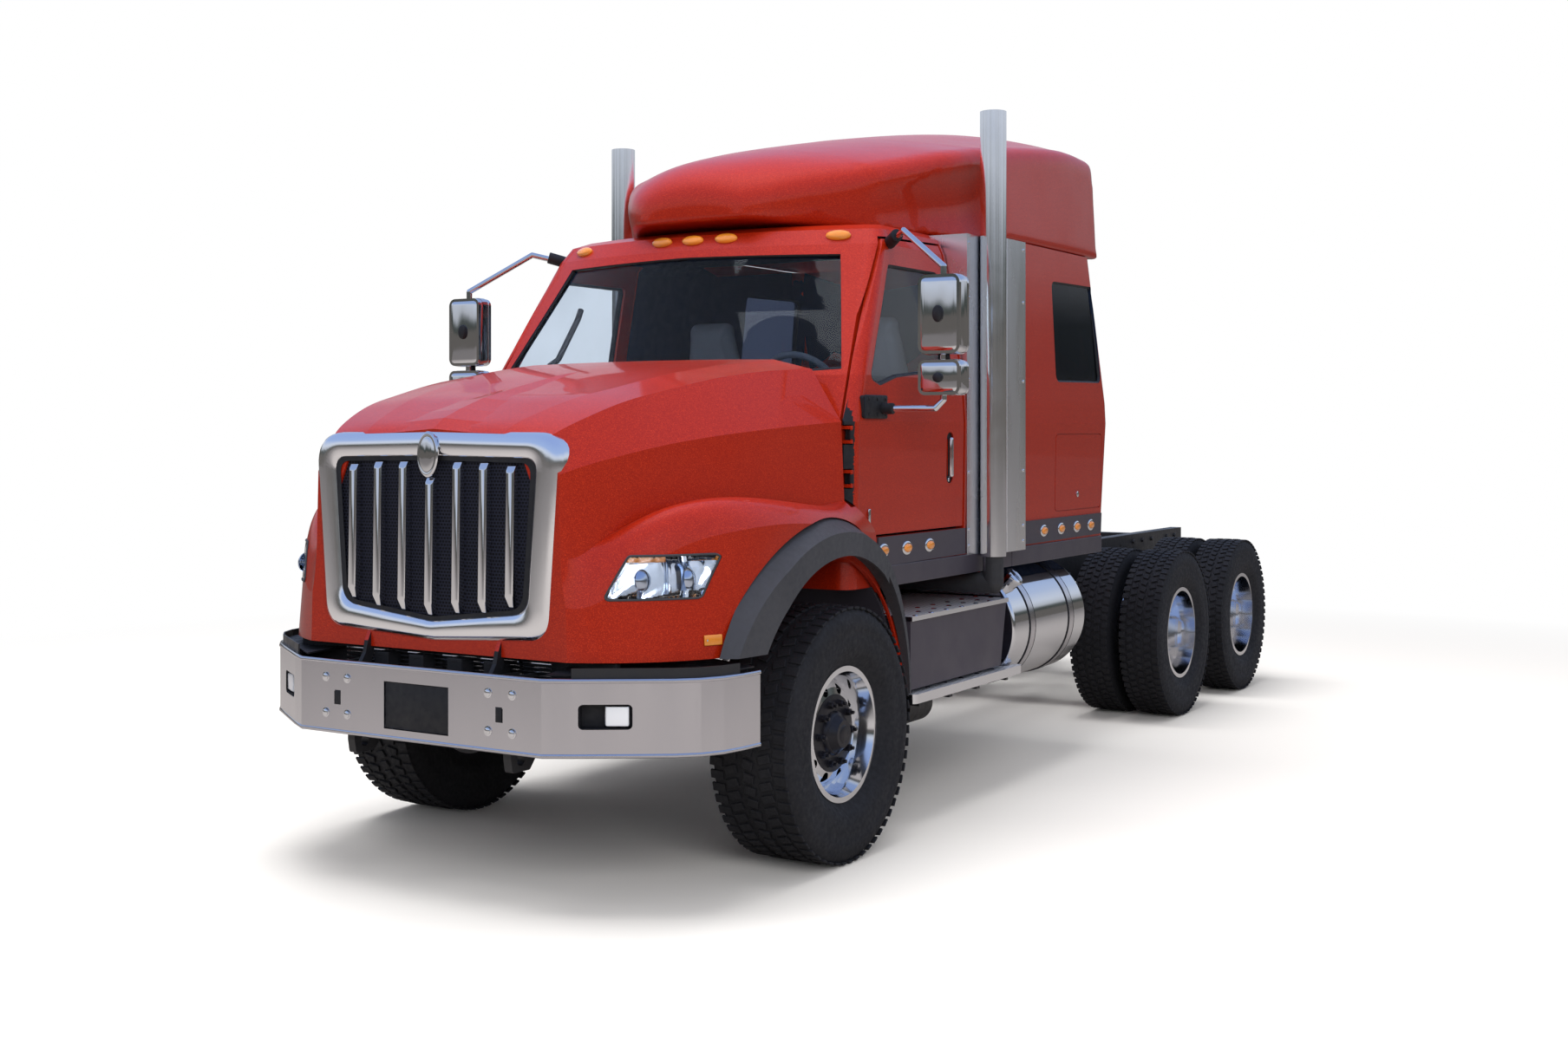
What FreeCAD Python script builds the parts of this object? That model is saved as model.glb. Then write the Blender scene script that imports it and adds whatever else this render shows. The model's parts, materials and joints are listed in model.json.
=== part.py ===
import FreeCAD, Part
import math
import os
from FreeCAD import Vector

# Semi truck tractor unit with a sleeper cab, in millimetres, +Z up, nose towards -Y.
# Distances along the truck are measured from the front axle, heights from the ground,
# and every sub-part's Placement moves it so that the origin is under the truck's middle.

os.makedirs("parts", exist_ok=True)
doc = FreeCAD.newDocument("Tractor")
sheet = doc.addObject("Spreadsheet::Sheet", "Params")

SIZES = {
    # Frame
    "bumper_reach": 1405, "frame_end": 6850, "rail_front": 1150, "rail_outer": 430,
    "rail_top": 1118, "rail_clear": 30, "rail_depth": 268, "rail_flange": 85, "rail_web": 10,
    "cross_depth": 170, "cross_length": 90, "bolt_spacing_y": 400, "bolt_spacing_z": 120, "bolt_radius": 10,
    # Axles and wheels
    "steer_tyre_radius": 562, "steer_tyre_width": 400, "steer_wheel_x": 1055,
    "drive_tyre_radius": 547, "drive_tyre_width": 278, "dual_outer_x": 1070, "dual_spacing": 340,
    "rim_radius": 285, "rim_fit": 0.3, "tandem_front": 4622, "tandem_spread": 1346,
    "kingpin_x": 920, "kingpin_radius": 24, "kingpin_fit": 0.3, "hub_bore": 50, "hub_fit": 0.3, "boss_radius": 48,
    "axle_tube_radius": 62, "brake_radius": 205, "running_gap": 8,
    # Bumper
    "bumper_top": 930, "bumper_low": 625, "bumper_wall": 12, "bumper_flat": 650, "valance_wall": 6,
    "tow_eye_y": -1280, "tow_eye_z": 580, "tow_eye_radius": 24,
    # Hood, fenders and grille
    "lamp_low": 1228, "lamp_high": 1398, "lamp_proud": 5, "lamp_depth": 45,
    "hood_wall": 20, "hood_rear": 216, "hood_low": 985,
    "arch_y": -50, "arch_z": 620, "arch_inner": 715, "arch_top": 1345, "arch_low": 645,
    "flare_front": 920, "flare_rear": 780, "flare_top": 1510, "flare_x": 1250, "flare_root": 1140,
    "liner_wall": 12, "liner_inner_x": 620, "tail_upper_x": 1118, "tail_lower_x": 1128,
    "grille_front": 1325, "grille_back": 1255, "bar_width": 32, "bar_depth": 38, "mesh_wall": 14,
    "hood_hinge_y": -1330, "hood_hinge_z": 900, "hinge_pin": 14, "hinge_fit": 0.3,
    # Cab, doors and sleeper
    "cab_wall": 45, "cab_floor": 1165, "cab_rear": 1960, "cab_roof": 2900,
    "cab_side": 1112, "door_wall": 50, "door_gap": 12, "door_rear_gap": 18, "door_rear": 1408,
    "door_low": 1405, "door_hinge_x": 1100, "door_hinge_y": 254, "glass_wall": 8, "glass_inset": 14,
    "sleeper_rear": 3450, "seam_z": 2930, "fairing_wall": 35, "locker_seam": 6,
    # Side equipment
    "stack_fit": 0.3, "stack_y": 1607, "stack_radius": 68, "stack_top": 3535, "stack_low": 1240,
    "shield_wall": 4, "shield_top": 2895, "shield_low": 1252, "shield_bulge": 80,
    "pipe_z": 1100,
    "tank_radius": 330, "tank_x": 835, "tank_z": 822, "tank_front": 1925, "tank_length": 1010,
    "strap_width": 60, "strap_wall": 4,
    "box_outer": 1135, "box_front": 770, "box_rear": 1880, "box_top": 1000, "box_low": 650,
    "tread_wall": 22, "trim_wall": 10, "step_outer": 1165, "step_top": 630, "step_wall": 45,
    # Heavy inner pieces
    "engine_length": 1050, "engine_width": 620, "engine_height": 800,
}

for row, (alias, value) in enumerate(SIZES.items(), start=1):
    sheet.set("A%d" % row, alias)
    sheet.set("B%d" % row, str(value))
    sheet.setAlias("B%d" % row, alias)
doc.recompute()


class Sizes:
    """Reads a driving dimension from the sheet by its alias."""

    def __getattr__(self, alias):
        return float(sheet.get(alias))


size = Sizes()
middle = (size.frame_end - size.bumper_reach) / 2
NODES = []


def in_terms_of_sheet(text):
    """Writes $name as a reference to the sheet."""
    return text.replace("$", "Params.")


def place(node, along="0", across="0", up="0"):
    """Moves a finished sub-part from the axle's frame to the truck's frame, and keeps it."""
    node.Placement = FreeCAD.Placement()
    node.setExpression(".Placement.Base.x", in_terms_of_sheet(across))
    node.setExpression(".Placement.Base.y", in_terms_of_sheet(
        along + " - ($frame_end - $bumper_reach) / 2"))
    node.setExpression(".Placement.Base.z", in_terms_of_sheet(up))
    NODES.append(node)
    return node


def feature(label, shape, along="0", across="0", up="0"):
    """A sub-part whose form needs Part's own functions."""
    node = doc.addObject("Part::Feature", label)
    node.Label = label
    node.Shape = shape
    return place(node, along, across, up)


def mirrored(shape):
    """The same form on the other side of the truck."""
    return shape.mirror(Vector(0, 0, 0), Vector(1, 0, 0))


def both_sides(shape):
    return [shape, mirrored(shape)]


def block(x0, x1, y0, y1, z0, z1):
    return Part.makeBox(x1 - x0, y1 - y0, z1 - z0, Vector(x0, y0, z0))


def rod(start, end, radius):
    """A straight round bar between two points."""
    start = Vector(*start)
    axis = Vector(*end) - start
    return Part.makeCylinder(radius, axis.Length, start, axis)


def outline(corners, radius=0):
    """A closed wire through the corners, each turned by an arc of the radius."""
    corners = [Vector(*corner) for corner in corners]
    radii = radius if isinstance(radius, (list, tuple)) else [radius] * len(corners)
    turns = []
    for index, corner in enumerate(corners):
        back = (corners[index - 1] - corner).normalize()
        ahead = (corners[(index + 1) % len(corners)] - corner).normalize()
        half = back.getAngle(ahead) / 2
        if radii[index] == 0 or half > math.radians(89.5):
            turns.append((corner, None, corner))
            continue
        reach = radii[index] / math.tan(half)
        inward = (back + ahead).normalize() * (radii[index] / math.sin(half) - radii[index])
        turns.append((corner + back * reach, corner + inward, corner + ahead * reach))
    edges = []
    for index, (start, middle_point, end) in enumerate(turns):
        if middle_point is not None:
            edges.append(Part.Arc(start, middle_point, end).toShape())
        following = turns[(index + 1) % len(turns)][0]
        if end.distanceToPoint(following) > 1e-4:
            edges.append(Part.LineSegment(end, following).toShape())
    return Part.Wire(edges)


def slab_x(corners, x0, x1, radius=0):
    """A plate whose outline is drawn in side view, from x0 to x1."""
    wire = outline([(x0, y, z) for y, z in corners], radius)
    return Part.Face(wire).extrude(Vector(x1 - x0, 0, 0))


def slab_y(corners, y0, y1, radius=0):
    """A plate whose outline is drawn in front view, from y0 to y1."""
    wire = outline([(x, y0, z) for x, z in corners], radius)
    return Part.Face(wire).extrude(Vector(0, y1 - y0, 0))


def slab_z(corners, z0, z1, radius=0):
    """A plate whose outline is drawn in plan, from z0 to z1."""
    wire = outline([(x, y, z0) for x, y in corners], radius)
    return Part.Face(wire).extrude(Vector(0, 0, z1 - z0))


def both_halves(half):
    """The outline's right half and its mirror image, for a form symmetric about x = 0."""
    return [(-x, z) for x, z in reversed(half) if x > 0] + list(half)


def curve(points):
    """A smooth edge through the points."""
    spline = Part.BSplineCurve()
    spline.interpolate([Vector(*point) for point in points])
    return spline.toShape()


def line(start, end):
    return Part.LineSegment(Vector(*start), Vector(*end)).toShape()


def revolved_about_x(profile, radius_of_turn=0):
    """A solid of revolution about the X axis; the profile is (x, radius) pairs."""
    wire = outline([(x, 0, r) for x, r in profile], radius_of_turn)
    return Part.Face(wire).revolve(Vector(0, 0, 0), Vector(1, 0, 0), 360)


def inward(half, wall):
    """A half section moved in by the wall's thickness, square to its own line."""
    moved = []
    for index, (x, z) in enumerate(half):
        if index == 0:
            moved.append((0, z - wall))
            continue
        before = half[index - 1]
        after = half[min(index + 1, len(half) - 1)]
        run = Vector(after[0] - before[0], after[1] - before[1], 0).normalize()
        moved.append((x + run.y * wall, z - run.x * wall))
    return moved


# Frame: two C-section rails with crossmembers between their webs


def frame():
    body = doc.addObject("PartDesign::Body", "frame")
    body.Label = "frame"
    body.AllowCompound = True
    planes = {plane.Role: plane for plane in body.Origin.OriginFeatures}
    outer = size.rail_outer
    flange = size.rail_flange
    web = size.rail_web
    top = size.rail_top
    low = top - size.rail_depth
    profile = body.newObject("Sketcher::SketchObject", "rail_section")
    profile.AttachmentSupport = [(planes["XZ_Plane"], "")]
    profile.MapMode = "FlatFace"
    profile.setExpression(".AttachmentOffset.Base.z", "-Params.frame_end")
    points = [(outer, low), (outer, top), (outer - flange, top), (outer - flange, top - web),
              (outer - web, top - web), (outer - web, low + web), (outer - flange, low + web),
              (outer - flange, low)]
    for start, end in zip(points, points[1:] + points[:1]):
        profile.addGeometry(Part.LineSegment(Vector(*start, 0), Vector(*end, 0)))
    rail = body.newObject("PartDesign::Pad", "rail")
    rail.Profile = profile
    rail.setExpression("Length", "Params.frame_end + Params.rail_front")
    crossing = body.newObject("Sketcher::SketchObject", "cross_sections")
    crossing.AttachmentSupport = [(planes["YZ_Plane"], "")]
    crossing.MapMode = "FlatFace"
    tandem = size.tandem_front + size.tandem_spread / 2
    stations = (-size.rail_front + 250, 2150, 3300, tandem - 330, tandem + 330,
                size.frame_end - 160)
    half = size.cross_length / 2
    z0 = (top + low - size.cross_depth) / 2
    for station in stations:
        corners = [(station - half, z0), (station + half, z0), (station + half, z0 + size.cross_depth),
                   (station - half, z0 + size.cross_depth)]
        for start, end in zip(corners, corners[1:] + corners[:1]):
            crossing.addGeometry(Part.LineSegment(Vector(*start, 0), Vector(*end, 0)))
    members = body.newObject("PartDesign::Pad", "crossmembers")
    members.Profile = crossing
    members.setExpression("Length", "Params.rail_outer - Params.rail_web / 2")
    doc.recompute()
    other_side = body.newObject("PartDesign::Mirrored", "other_side")
    other_side.Originals = [rail, members]
    other_side.MirrorPlane = (planes["YZ_Plane"], [""])
    body.Tip = other_side
    body.Tip = bolt_holes(body, planes, tandem)
    place(body)


def bolt_holes(body, planes, tandem):
    """Four holes through each web over the tandem, for the side plates of a coupling or a body."""
    sketch = body.newObject("Sketcher::SketchObject", "web_holes")
    sketch.AttachmentSupport = [(planes["YZ_Plane"], "")]
    sketch.MapMode = "FlatFace"
    middle_z = size.rail_top - size.rail_depth / 2
    for along in (-size.bolt_spacing_y / 2, size.bolt_spacing_y / 2):
        for up in (-size.bolt_spacing_z / 2, size.bolt_spacing_z / 2):
            centre = Vector(tandem + along, middle_z + up, 0)
            sketch.addGeometry(Part.Circle(centre, Vector(0, 0, 1), size.bolt_radius))
    holes = body.newObject("PartDesign::Pocket", "web_bolt_holes")
    holes.Profile = sketch
    holes.Type = "ThroughAll"
    holes.Midplane = True
    return holes


frame()


# Bumper: one bent stainless sheet with swept ends, lamp pockets, tow slots and a plate recess


def bumper_path(offset):
    """Plan of the bumper's front face from the middle to the end, moved in by the offset."""
    reach = size.bumper_reach
    path = [(0, -reach), (size.bumper_flat, -reach), (740, -reach + 18), (960, -reach + 75),
            (1110, -reach + 148), (1190, -reach + 225), (1238, -reach + 330), (1252, -reach + 430),
            (1235, -reach + 660)]
    moved = []
    for index, (x, y) in enumerate(path):
        before = path[max(index - 1, 0)]
        after = path[min(index + 1, len(path) - 1)]
        run = Vector(after[0] - before[0], after[1] - before[1], 0).normalize()
        moved.append((x - run.y * offset if index else 0, y + run.x * offset))
    return moved


def bumper():
    top = size.bumper_top
    low = size.bumper_low
    outer = bumper_path(0)
    inner = bumper_path(size.bumper_wall)
    half = outer + inner[::-1]
    other = [(-x, y) for x, y in half]
    sheet_half = slab_z(half, low, top)
    sheet_other = slab_z(other, low, top)
    shell = sheet_half.fuse(sheet_other)
    reach = size.bumper_reach
    for side in (1, -1):
        shell = shell.cut(slab_y([(side * x, z) for x, z in ((764, 735), (949, 735), (949, 832),
                                                             (764, 832))], -reach - 60, -reach + 200, 18))
        shell = shell.cut(block(side * 445 - 12, side * 445 + 12, -reach - 20, -reach + 60, 745, 800))
        shell = shell.cut(slab_x([(-reach + 430, top + 1), (-reach + 700, top + 1),
                                  (-reach + 700, top - 18)], min(0, side * 1300), max(0, side * 1300)))
    shell = shell.cut(block(-175, 175, -reach - 20, -reach + 60, 668, 862))
    recess = block(-187, 187, -reach + size.bumper_wall, -reach + size.bumper_wall + 22, 656, 874)
    recess = recess.cut(block(-175, 175, -reach, -reach + size.bumper_wall + 16, 668, 862))
    shell = shell.fuse(recess)
    for side in (1, -1):
        pocket = block(side * 856 - 112, side * 856 + 112, -reach + 60, -reach + 175, 722, 845)
        pocket = pocket.cut(block(side * 856 - 100, side * 856 + 100, -reach, -reach + 163, 734, 833))
        beyond = [(side * x, y) for x, y in bumper_path(1)[1:-1]]
        beyond = beyond + [(side * 1200, -reach - 100), (side * 600, -reach - 100)]
        pocket = pocket.cut(slab_z(beyond, low, top))
        shell = shell.fuse(pocket)
    return feature("bumper", shell.removeSplitter())


bumper()


def bumper_mounts():
    """Steel brackets from the rail ends to the bumper, the towing eyes, and the dark strips above."""
    reach = size.bumper_reach
    pieces = []
    for side in (1, -1):
        x0 = side * (size.rail_outer - 5) - 45
        plate = block(x0, x0 + 90, -reach + size.bumper_wall + 0.2, -size.rail_front, 700, 920)
        plate = plate.cut(block(x0 + 14, x0 + 76, -reach + size.bumper_wall + 14, -size.rail_front - 14,
                                690, 930))
        pin = rod((side * 340, size.hood_hinge_y, size.hood_hinge_z),
                  (side * 465, size.hood_hinge_y, size.hood_hinge_z), size.hinge_pin)
        eye_y = size.tow_eye_y
        eye_z = size.tow_eye_z
        eye = slab_x([(eye_y - 60, 760), (-size.rail_front, 760), (-size.rail_front, 620),
                      (eye_y + 55, eye_z - 48), (eye_y - 50, eye_z - 48), (eye_y - 60, eye_z + 10)],
                     x0 + 25, x0 + 65, 14)
        eye = eye.cut(rod((x0 - 50, eye_y, eye_z), (x0 + 150, eye_y, eye_z), size.tow_eye_radius))
        pieces.append(plate.fuse(eye).fuse(pin).removeSplitter())
        valance = bumper_path(size.bumper_wall + 0.3)[2:-1]
        valance = valance + bumper_path(size.bumper_wall + 0.3 + size.valance_wall)[-2:1:-1]
        pieces.append(slab_z([(side * x, y) for x, y in valance], 870, size.hood_low - 15))
    return feature("bumper_mounts", Part.makeCompound(pieces))


bumper_mounts()


# Hood: one tilting shell with both fenders, built as a skin through cross-sections


HOOD_STATIONS = (
    # y, then (x, z) from the centre line down to the fender's lower edge
    (-1292, (0, 1882), (375, 1876), (575, 1842), (655, 1715), (664, 1400), (668, 1330),
     (690, 1200), (712, 985)),
    (-1225, (0, 1925), (390, 1920), (610, 1890), (700, 1742), (712, 1400), (740, 1350),
     (800, 1220), (880, 985)),
    (-1120, (0, 1966), (415, 1962), (650, 1938), (750, 1772), (760, 1470), (830, 1470),
     (920, 1330), (1010, 985)),
    (-980, (0, 2014), (450, 2011), (690, 1990), (800, 1803), (812, 1525), (945, 1565),
     (1025, 1430), (1110, 985)),
    (-780, (0, 2062), (500, 2060), (730, 2040), (856, 1838), (870, 1556), (1030, 1606),
     (1120, 1480), (1180, 985)),
    (-480, (0, 2128), (565, 2125), (790, 2100), (935, 1875), (950, 1560), (1080, 1604),
     (1175, 1500), (1208, 985)),
    (-130, (0, 2185), (640, 2180), (850, 2148), (1005, 1905), (1020, 1548), (1102, 1568),
     (1183, 1482), (1212, 985)),
    (222, (0, 2226), (712, 2218), (915, 2170), (1070, 1928), (1086, 1572), (1116, 1545),
     (1152, 1440), (1182, 985)),
    (760, (0, 2240), (730, 2232), (930, 2184), (1085, 1940), (1098, 1572), (1118, 1545),
     (1152, 1440), (1168, 985)),
)


def hood_section(station, wall, front_shift=0):
    """One closed cross-section of the hood, moved in by the wall's thickness."""
    y = station[0] + front_shift
    half = inward(list(station[1:]), wall) if wall else list(station[1:])
    half[-1] = (half[-1][0], 500)
    points = [(x, y, z) for x, z in half]
    other = [(-x, y, z) for x, y, z in points]
    panel = curve([other[1], points[0], points[1]])
    right = [line(points[1], points[2]), line(points[2], points[3]), line(points[3], points[4]),
             curve(points[4:7]), line(points[6], points[7])]
    left = [line(other[7], other[6]), curve(other[6:3:-1]), line(other[4], other[3]),
            line(other[3], other[2]), line(other[2], other[1])]
    return Part.Wire([panel] + right + [line(points[7], other[7])] + left)


def arch(front, rear, top, shift=0):
    """The wheel arch in side view as (y, z) points, from its low rear end to its low front end."""
    centre_y = size.arch_y
    centre_z = size.arch_z
    height = top - centre_z
    points = []
    steps = 10
    for step in range(steps + 1):
        turn = math.pi * step / steps
        reach = rear if turn < math.pi / 2 else front
        points.append((centre_y + (reach + shift) * math.cos(turn),
                       centre_z + (height + shift) * math.sin(turn)))
    return points


def arch_wire(x, front, rear, top, shift=0, low=-400):
    points = [(x, y, z) for y, z in arch(front, rear, top, shift)]
    start = (x, points[0][1], low)
    end = (x, points[-1][1], low)
    return Part.Wire([line(start, points[0]), curve(points), line(points[-1], end), line(end, start)])


def arch_solid(x0, x1, front, rear, top, shift=0):
    return Part.Face(arch_wire(x0, front, rear, top, shift)).extrude(Vector(x1 - x0, 0, 0))


def inner_arch(x0, x1, shift=0):
    return arch_solid(x0, x1, size.arch_inner, size.arch_inner, size.arch_top, shift)


def flare_arch(x0, x1, shift=0):
    return arch_solid(x0, x1, size.flare_front, size.flare_rear, size.flare_top, shift)


GRILLE_HALF_FRONT = ((0, 1900), (470, 1884), (600, 1845), (640, 1700), (645, 1450), (612, 1130),
                     (590, 1068), (0, 1040))
GRILLE_HALF_OPEN = ((0, 1800), (400, 1795), (480, 1765), (532, 1650), (536, 1450), (490, 1190),
                    (465, 1160), (0, 1112))


def closed_front_view(half):
    """Corners of a symmetric front-view outline given from the top centre to the bottom centre."""
    right = [corner for corner in half if corner[0] > 0]
    return [half[0]] + right + [half[-1]] + [(-x, z) for x, z in reversed(right)]


def behind_hood():
    """What lies behind the hood: its rear edge, and the tail of each fender beside the cab."""
    rear = size.hood_rear
    tail = slab_x([(rear, 2600), (rear, 1576), (rear + 110, 1492), (rear + 250, 1402), (rear + 343, 1290),
                   (rear + 433, 1120), (rear + 483, 985), (rear + 518, 800), (rear + 518, 300),
                   (1500, 300), (1500, 2600)], -1500, 1500)
    upper_x = size.tail_upper_x
    lower_x = size.tail_lower_x
    inside = block(-upper_x, upper_x, rear, 1500, 300, 2600)
    inside = inside.fuse(block(-lower_x, lower_x, rear + 230, 1500, 300, 2600))
    return tail.fuse(inside)


HOOD_RIDGE = (
    # y, half width, height of the crest line, rise above it
    (-1292, 372, 1882, 14),
    (-1225, 345, 1925, 16),
    (-1120, 300, 1966, 16),
    (-980, 248, 2014, 14),
    (-780, 180, 2062, 12),
    (-480, 84, 2128, 8),
    (-240, 8, 2168, 1),
)


def hood_ridge():
    """The pointed ridge that runs back from the grille along the middle of the hood."""
    wires = []
    for y, half, crest, rise in HOOD_RIDGE:
        wires.append(outline([(-half, y, crest - 12), (0, y, crest + rise), (half, y, crest - 12)]))
    return Part.makeLoft(wires, True, True)


def hood():
    wall = size.hood_wall
    skin = Part.makeLoft([hood_section(station, 0) for station in HOOD_STATIONS], True, False)
    hollow = Part.makeLoft([hood_section(station, wall, wall if index == 0 else 0)
                            for index, station in enumerate(HOOD_STATIONS)], True, False)
    shell = skin.cut(hollow).fuse(hood_ridge())
    flare_x = size.flare_root
    low_front = block(-1500, 1500, -1500, -300, 0, size.hood_low)
    low_rear = block(-1500, 1500, -301, 1500, 0, size.arch_low)
    shell = shell.cut(block(-1500, 1500, -1500, 1500, 0, size.hood_low))
    for side in (1, -1):
        whole = flare_arch(flare_x, 1500).fuse(inner_arch(size.liner_inner_x, 1500))
        backing = block(flare_x - wall, flare_x, -1000, 900, 400, 1700).common(skin)
        liner = inner_arch(size.liner_inner_x, flare_x, size.liner_wall)
        piece = backing.fuse(liner.common(block(0, 1300, -1300, 1300, 0, 1800)))
        piece = piece.cut(inner_arch(size.liner_inner_x - 1, flare_x + 1))
        piece = piece.cut(low_front).cut(low_rear)
        lamp = lamp_block(0.25)
        if side < 0:
            whole, piece, lamp = mirrored(whole), mirrored(piece), mirrored(lamp)
        shell = shell.cut(whole).fuse(piece).cut(lamp)
    shell = shell.cut(behind_hood())
    shell = shell.cut(slab_y(closed_front_view(GRILLE_HALF_OPEN), -1400, -1200))
    shell = sorted(shell.Solids, key=lambda solid: solid.Volume)[-1]
    shell = shell.fuse(hood_arm()).fuse(mirrored(hood_arm())).removeSplitter()
    tails = block(-1500, 1500, size.hood_rear, 1500, 0, 3000)
    return feature("hood", Part.makeCompound(shell.cut(tails).Solids + shell.common(tails).Solids))


def hood_arm():
    """The arm that hangs the hood's front wall on its hinge pin."""
    y = size.hood_hinge_y
    z = size.hood_hinge_z
    arm = slab_x([(y - 24, z - 12), (y - 24, z + 14), (y + 8, z + 60), (y + 20, z + 110), (y + 46, z + 165),
                  (y + 56, z + 165), (y + 56, z + 60), (y + 26, z - 14), (y + 8, z - 26), (y - 12, z - 26)],
                 345, 365)
    return arm.cut(rod((300, y, z), (400, y, z), size.hinge_pin + size.hinge_fit))


def lamp_block(clearance):
    """The headlamp unit: a block let into the fender's front face, a little proud of it."""
    low = size.lamp_low - clearance
    high = size.lamp_high + clearance
    corners = [(815 - clearance, low), (880 - clearance, high), (1112 + clearance, high),
               (1080 + clearance, low)]
    front = slab_y(corners, -1400, -600, 14)
    proud = [hood_section(station, -size.lamp_proud - clearance) for station in HOOD_STATIONS[:6]]
    behind = [hood_section(station, size.lamp_depth + clearance) for station in HOOD_STATIONS[:6]]
    return front.common(Part.makeLoft(proud, True, False)).cut(Part.makeLoft(behind, True, False))


def fender_flares():
    pieces = []
    for side in (1, -1):
        outer = arch_wire(size.flare_root, size.flare_front, size.flare_rear, size.flare_top)
        lip = arch_wire(size.flare_x, size.flare_front, size.flare_rear, size.flare_top, -62)
        body = Part.makeLoft([outer, lip], True, True)
        body = body.cut(inner_arch(size.flare_root - 1, size.flare_x + 1))
        under = inner_arch(size.flare_root - 1, size.flare_x - 28, 26)
        body = body.cut(under.common(block(0, 1400, -1300, 1300, 0, 1340)))
        low_front = block(0, 1400, -1400, -300, 0, size.hood_low)
        low_rear = block(0, 1400, 300, 1400, 0, size.arch_low)
        body = body.cut(low_front).cut(low_rear)
        plan = slab_z([(1000, -1000), (1188, -1000), (1205, -850), (1245, -520), (size.flare_x, -60),
                       (1232, 330), (1165, 740), (1000, 740)], 0, 1700)
        body = body.common(plan)
        body = sorted(body.Solids, key=lambda solid: solid.Volume)[-1]
        pieces.append(body if side > 0 else mirrored(body))
    return feature("fender_flares", Part.makeCompound(pieces))


hood()
fender_flares()


def grille_surround():
    """Chromed frame round the grille, bevelled from its back edge to its front face."""
    front = -size.grille_front
    back = -size.grille_back - 37.2
    front_wire = outline([(x, front, z) for x, z in closed_front_view(
        [(x * 0.965, 1460 + (z - 1460) * 0.965) for x, z in GRILLE_HALF_FRONT])])
    back_wire = outline([(x, back, z) for x, z in closed_front_view(GRILLE_HALF_FRONT)])
    frame_solid = Part.makeLoft([back_wire, front_wire], True, True)
    opening = slab_y(closed_front_view(GRILLE_HALF_OPEN), front - 5, back + 5)
    return feature("grille_surround", frame_solid.cut(opening))


grille_surround()


def grille_mesh():
    """Black mesh panel that fills the opening behind the bars."""
    panel = slab_y(closed_front_view([(x - 0.3 if x else 0, z - 0.3 if z > 1450 else z + 0.3)
                                      for x, z in GRILLE_HALF_OPEN]),
                   -size.grille_back - 27, -size.grille_back - 27 + size.mesh_wall)
    return feature("grille_mesh", panel)


grille_mesh()


def grille_bars():
    """Seven upright chromed bars with round tops and pointed lower ends that turn in."""
    back = -size.grille_back - 27
    depth = size.bar_depth
    half = size.bar_width / 2
    bars = []
    for place_x, top, low in ((0, 1700, 1128), (147, 1765, 1143), (287, 1763, 1152), (428, 1752, 1180)):
        side_view = [(back, top), (back - depth * 0.6, top - 4), (back - depth, top - 30),
                     (back - depth - 8, low + 60), (back - depth * 0.7, low + 8), (back, low)]
        bar = slab_x(side_view, -half, half)
        front_view = slab_y([(-half, low - 5), (-half * 0.35, low - 5), (-half, low + 55)],
                            back - 90, back + 10)
        bar = bar.cut(front_view).cut(mirrored(front_view))
        bar = bar.makeChamfer(half * 0.35, [edge for edge in bar.Edges if bar_front_edge(edge, back - depth)])
        for side in ((1, -1) if place_x else (1,)):
            copy = bar.copy()
            copy.translate(Vector(side * place_x, 0, 0))
            bars.append(copy)
    return feature("grille_bars", Part.makeCompound(bars))


def bar_front_edge(edge, front):
    """True for the two long front edges of a bar."""
    box = edge.BoundBox
    return box.ZLength > 300 and box.YMax < front + 2


grille_bars()


def headlamps():
    return feature("headlamps", Part.makeCompound(both_sides(lamp_block(0))))


headlamps()


# Radiator and engine: plain blocks at their real places inside


def radiator():
    between = size.rail_outer - size.rail_flange - 0.3
    core = block(-size.rail_outer, size.rail_outer, -1150, -1010, size.rail_top + size.rail_clear, 1700)
    low_core = block(-between, between, -1150, -1010, 930, size.rail_top + size.rail_clear)
    return feature("radiator", core.fuse(low_core).removeSplitter())


def engine():
    node = doc.addObject("Part::Box", "engine")
    node.Label = "engine"
    node.setExpression("Length", "Params.engine_width")
    node.setExpression("Width", "Params.engine_length")
    node.setExpression("Height", "Params.engine_height")
    place(node, "-$rail_front + 250 + $cross_length / 2 + 0.2", "-$engine_width / 2", "900")


radiator()
engine()


# Cab: hollow shell with the windscreen, both door openings and the passage to the sleeper


CAB_SLICES = (
    # height, half width, y of the front corners, y of the front's middle
    (1165, 1100, 250, 226),
    (1930, 1112, 250, 226),
    (2145, 1098, 345, 236),
    (2460, 1045, 540, 400),
    (2790, 985, 745, 560),
    (2868, 950, 800, 620),
    (2900, 890, 880, 720),
)


def cab_side_at(height):
    """Half width of the cab's lower side at a height."""
    low = CAB_SLICES[0]
    high = CAB_SLICES[1]
    return low[1] + (high[1] - low[1]) * (height - low[0]) / (high[0] - low[0])


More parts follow.
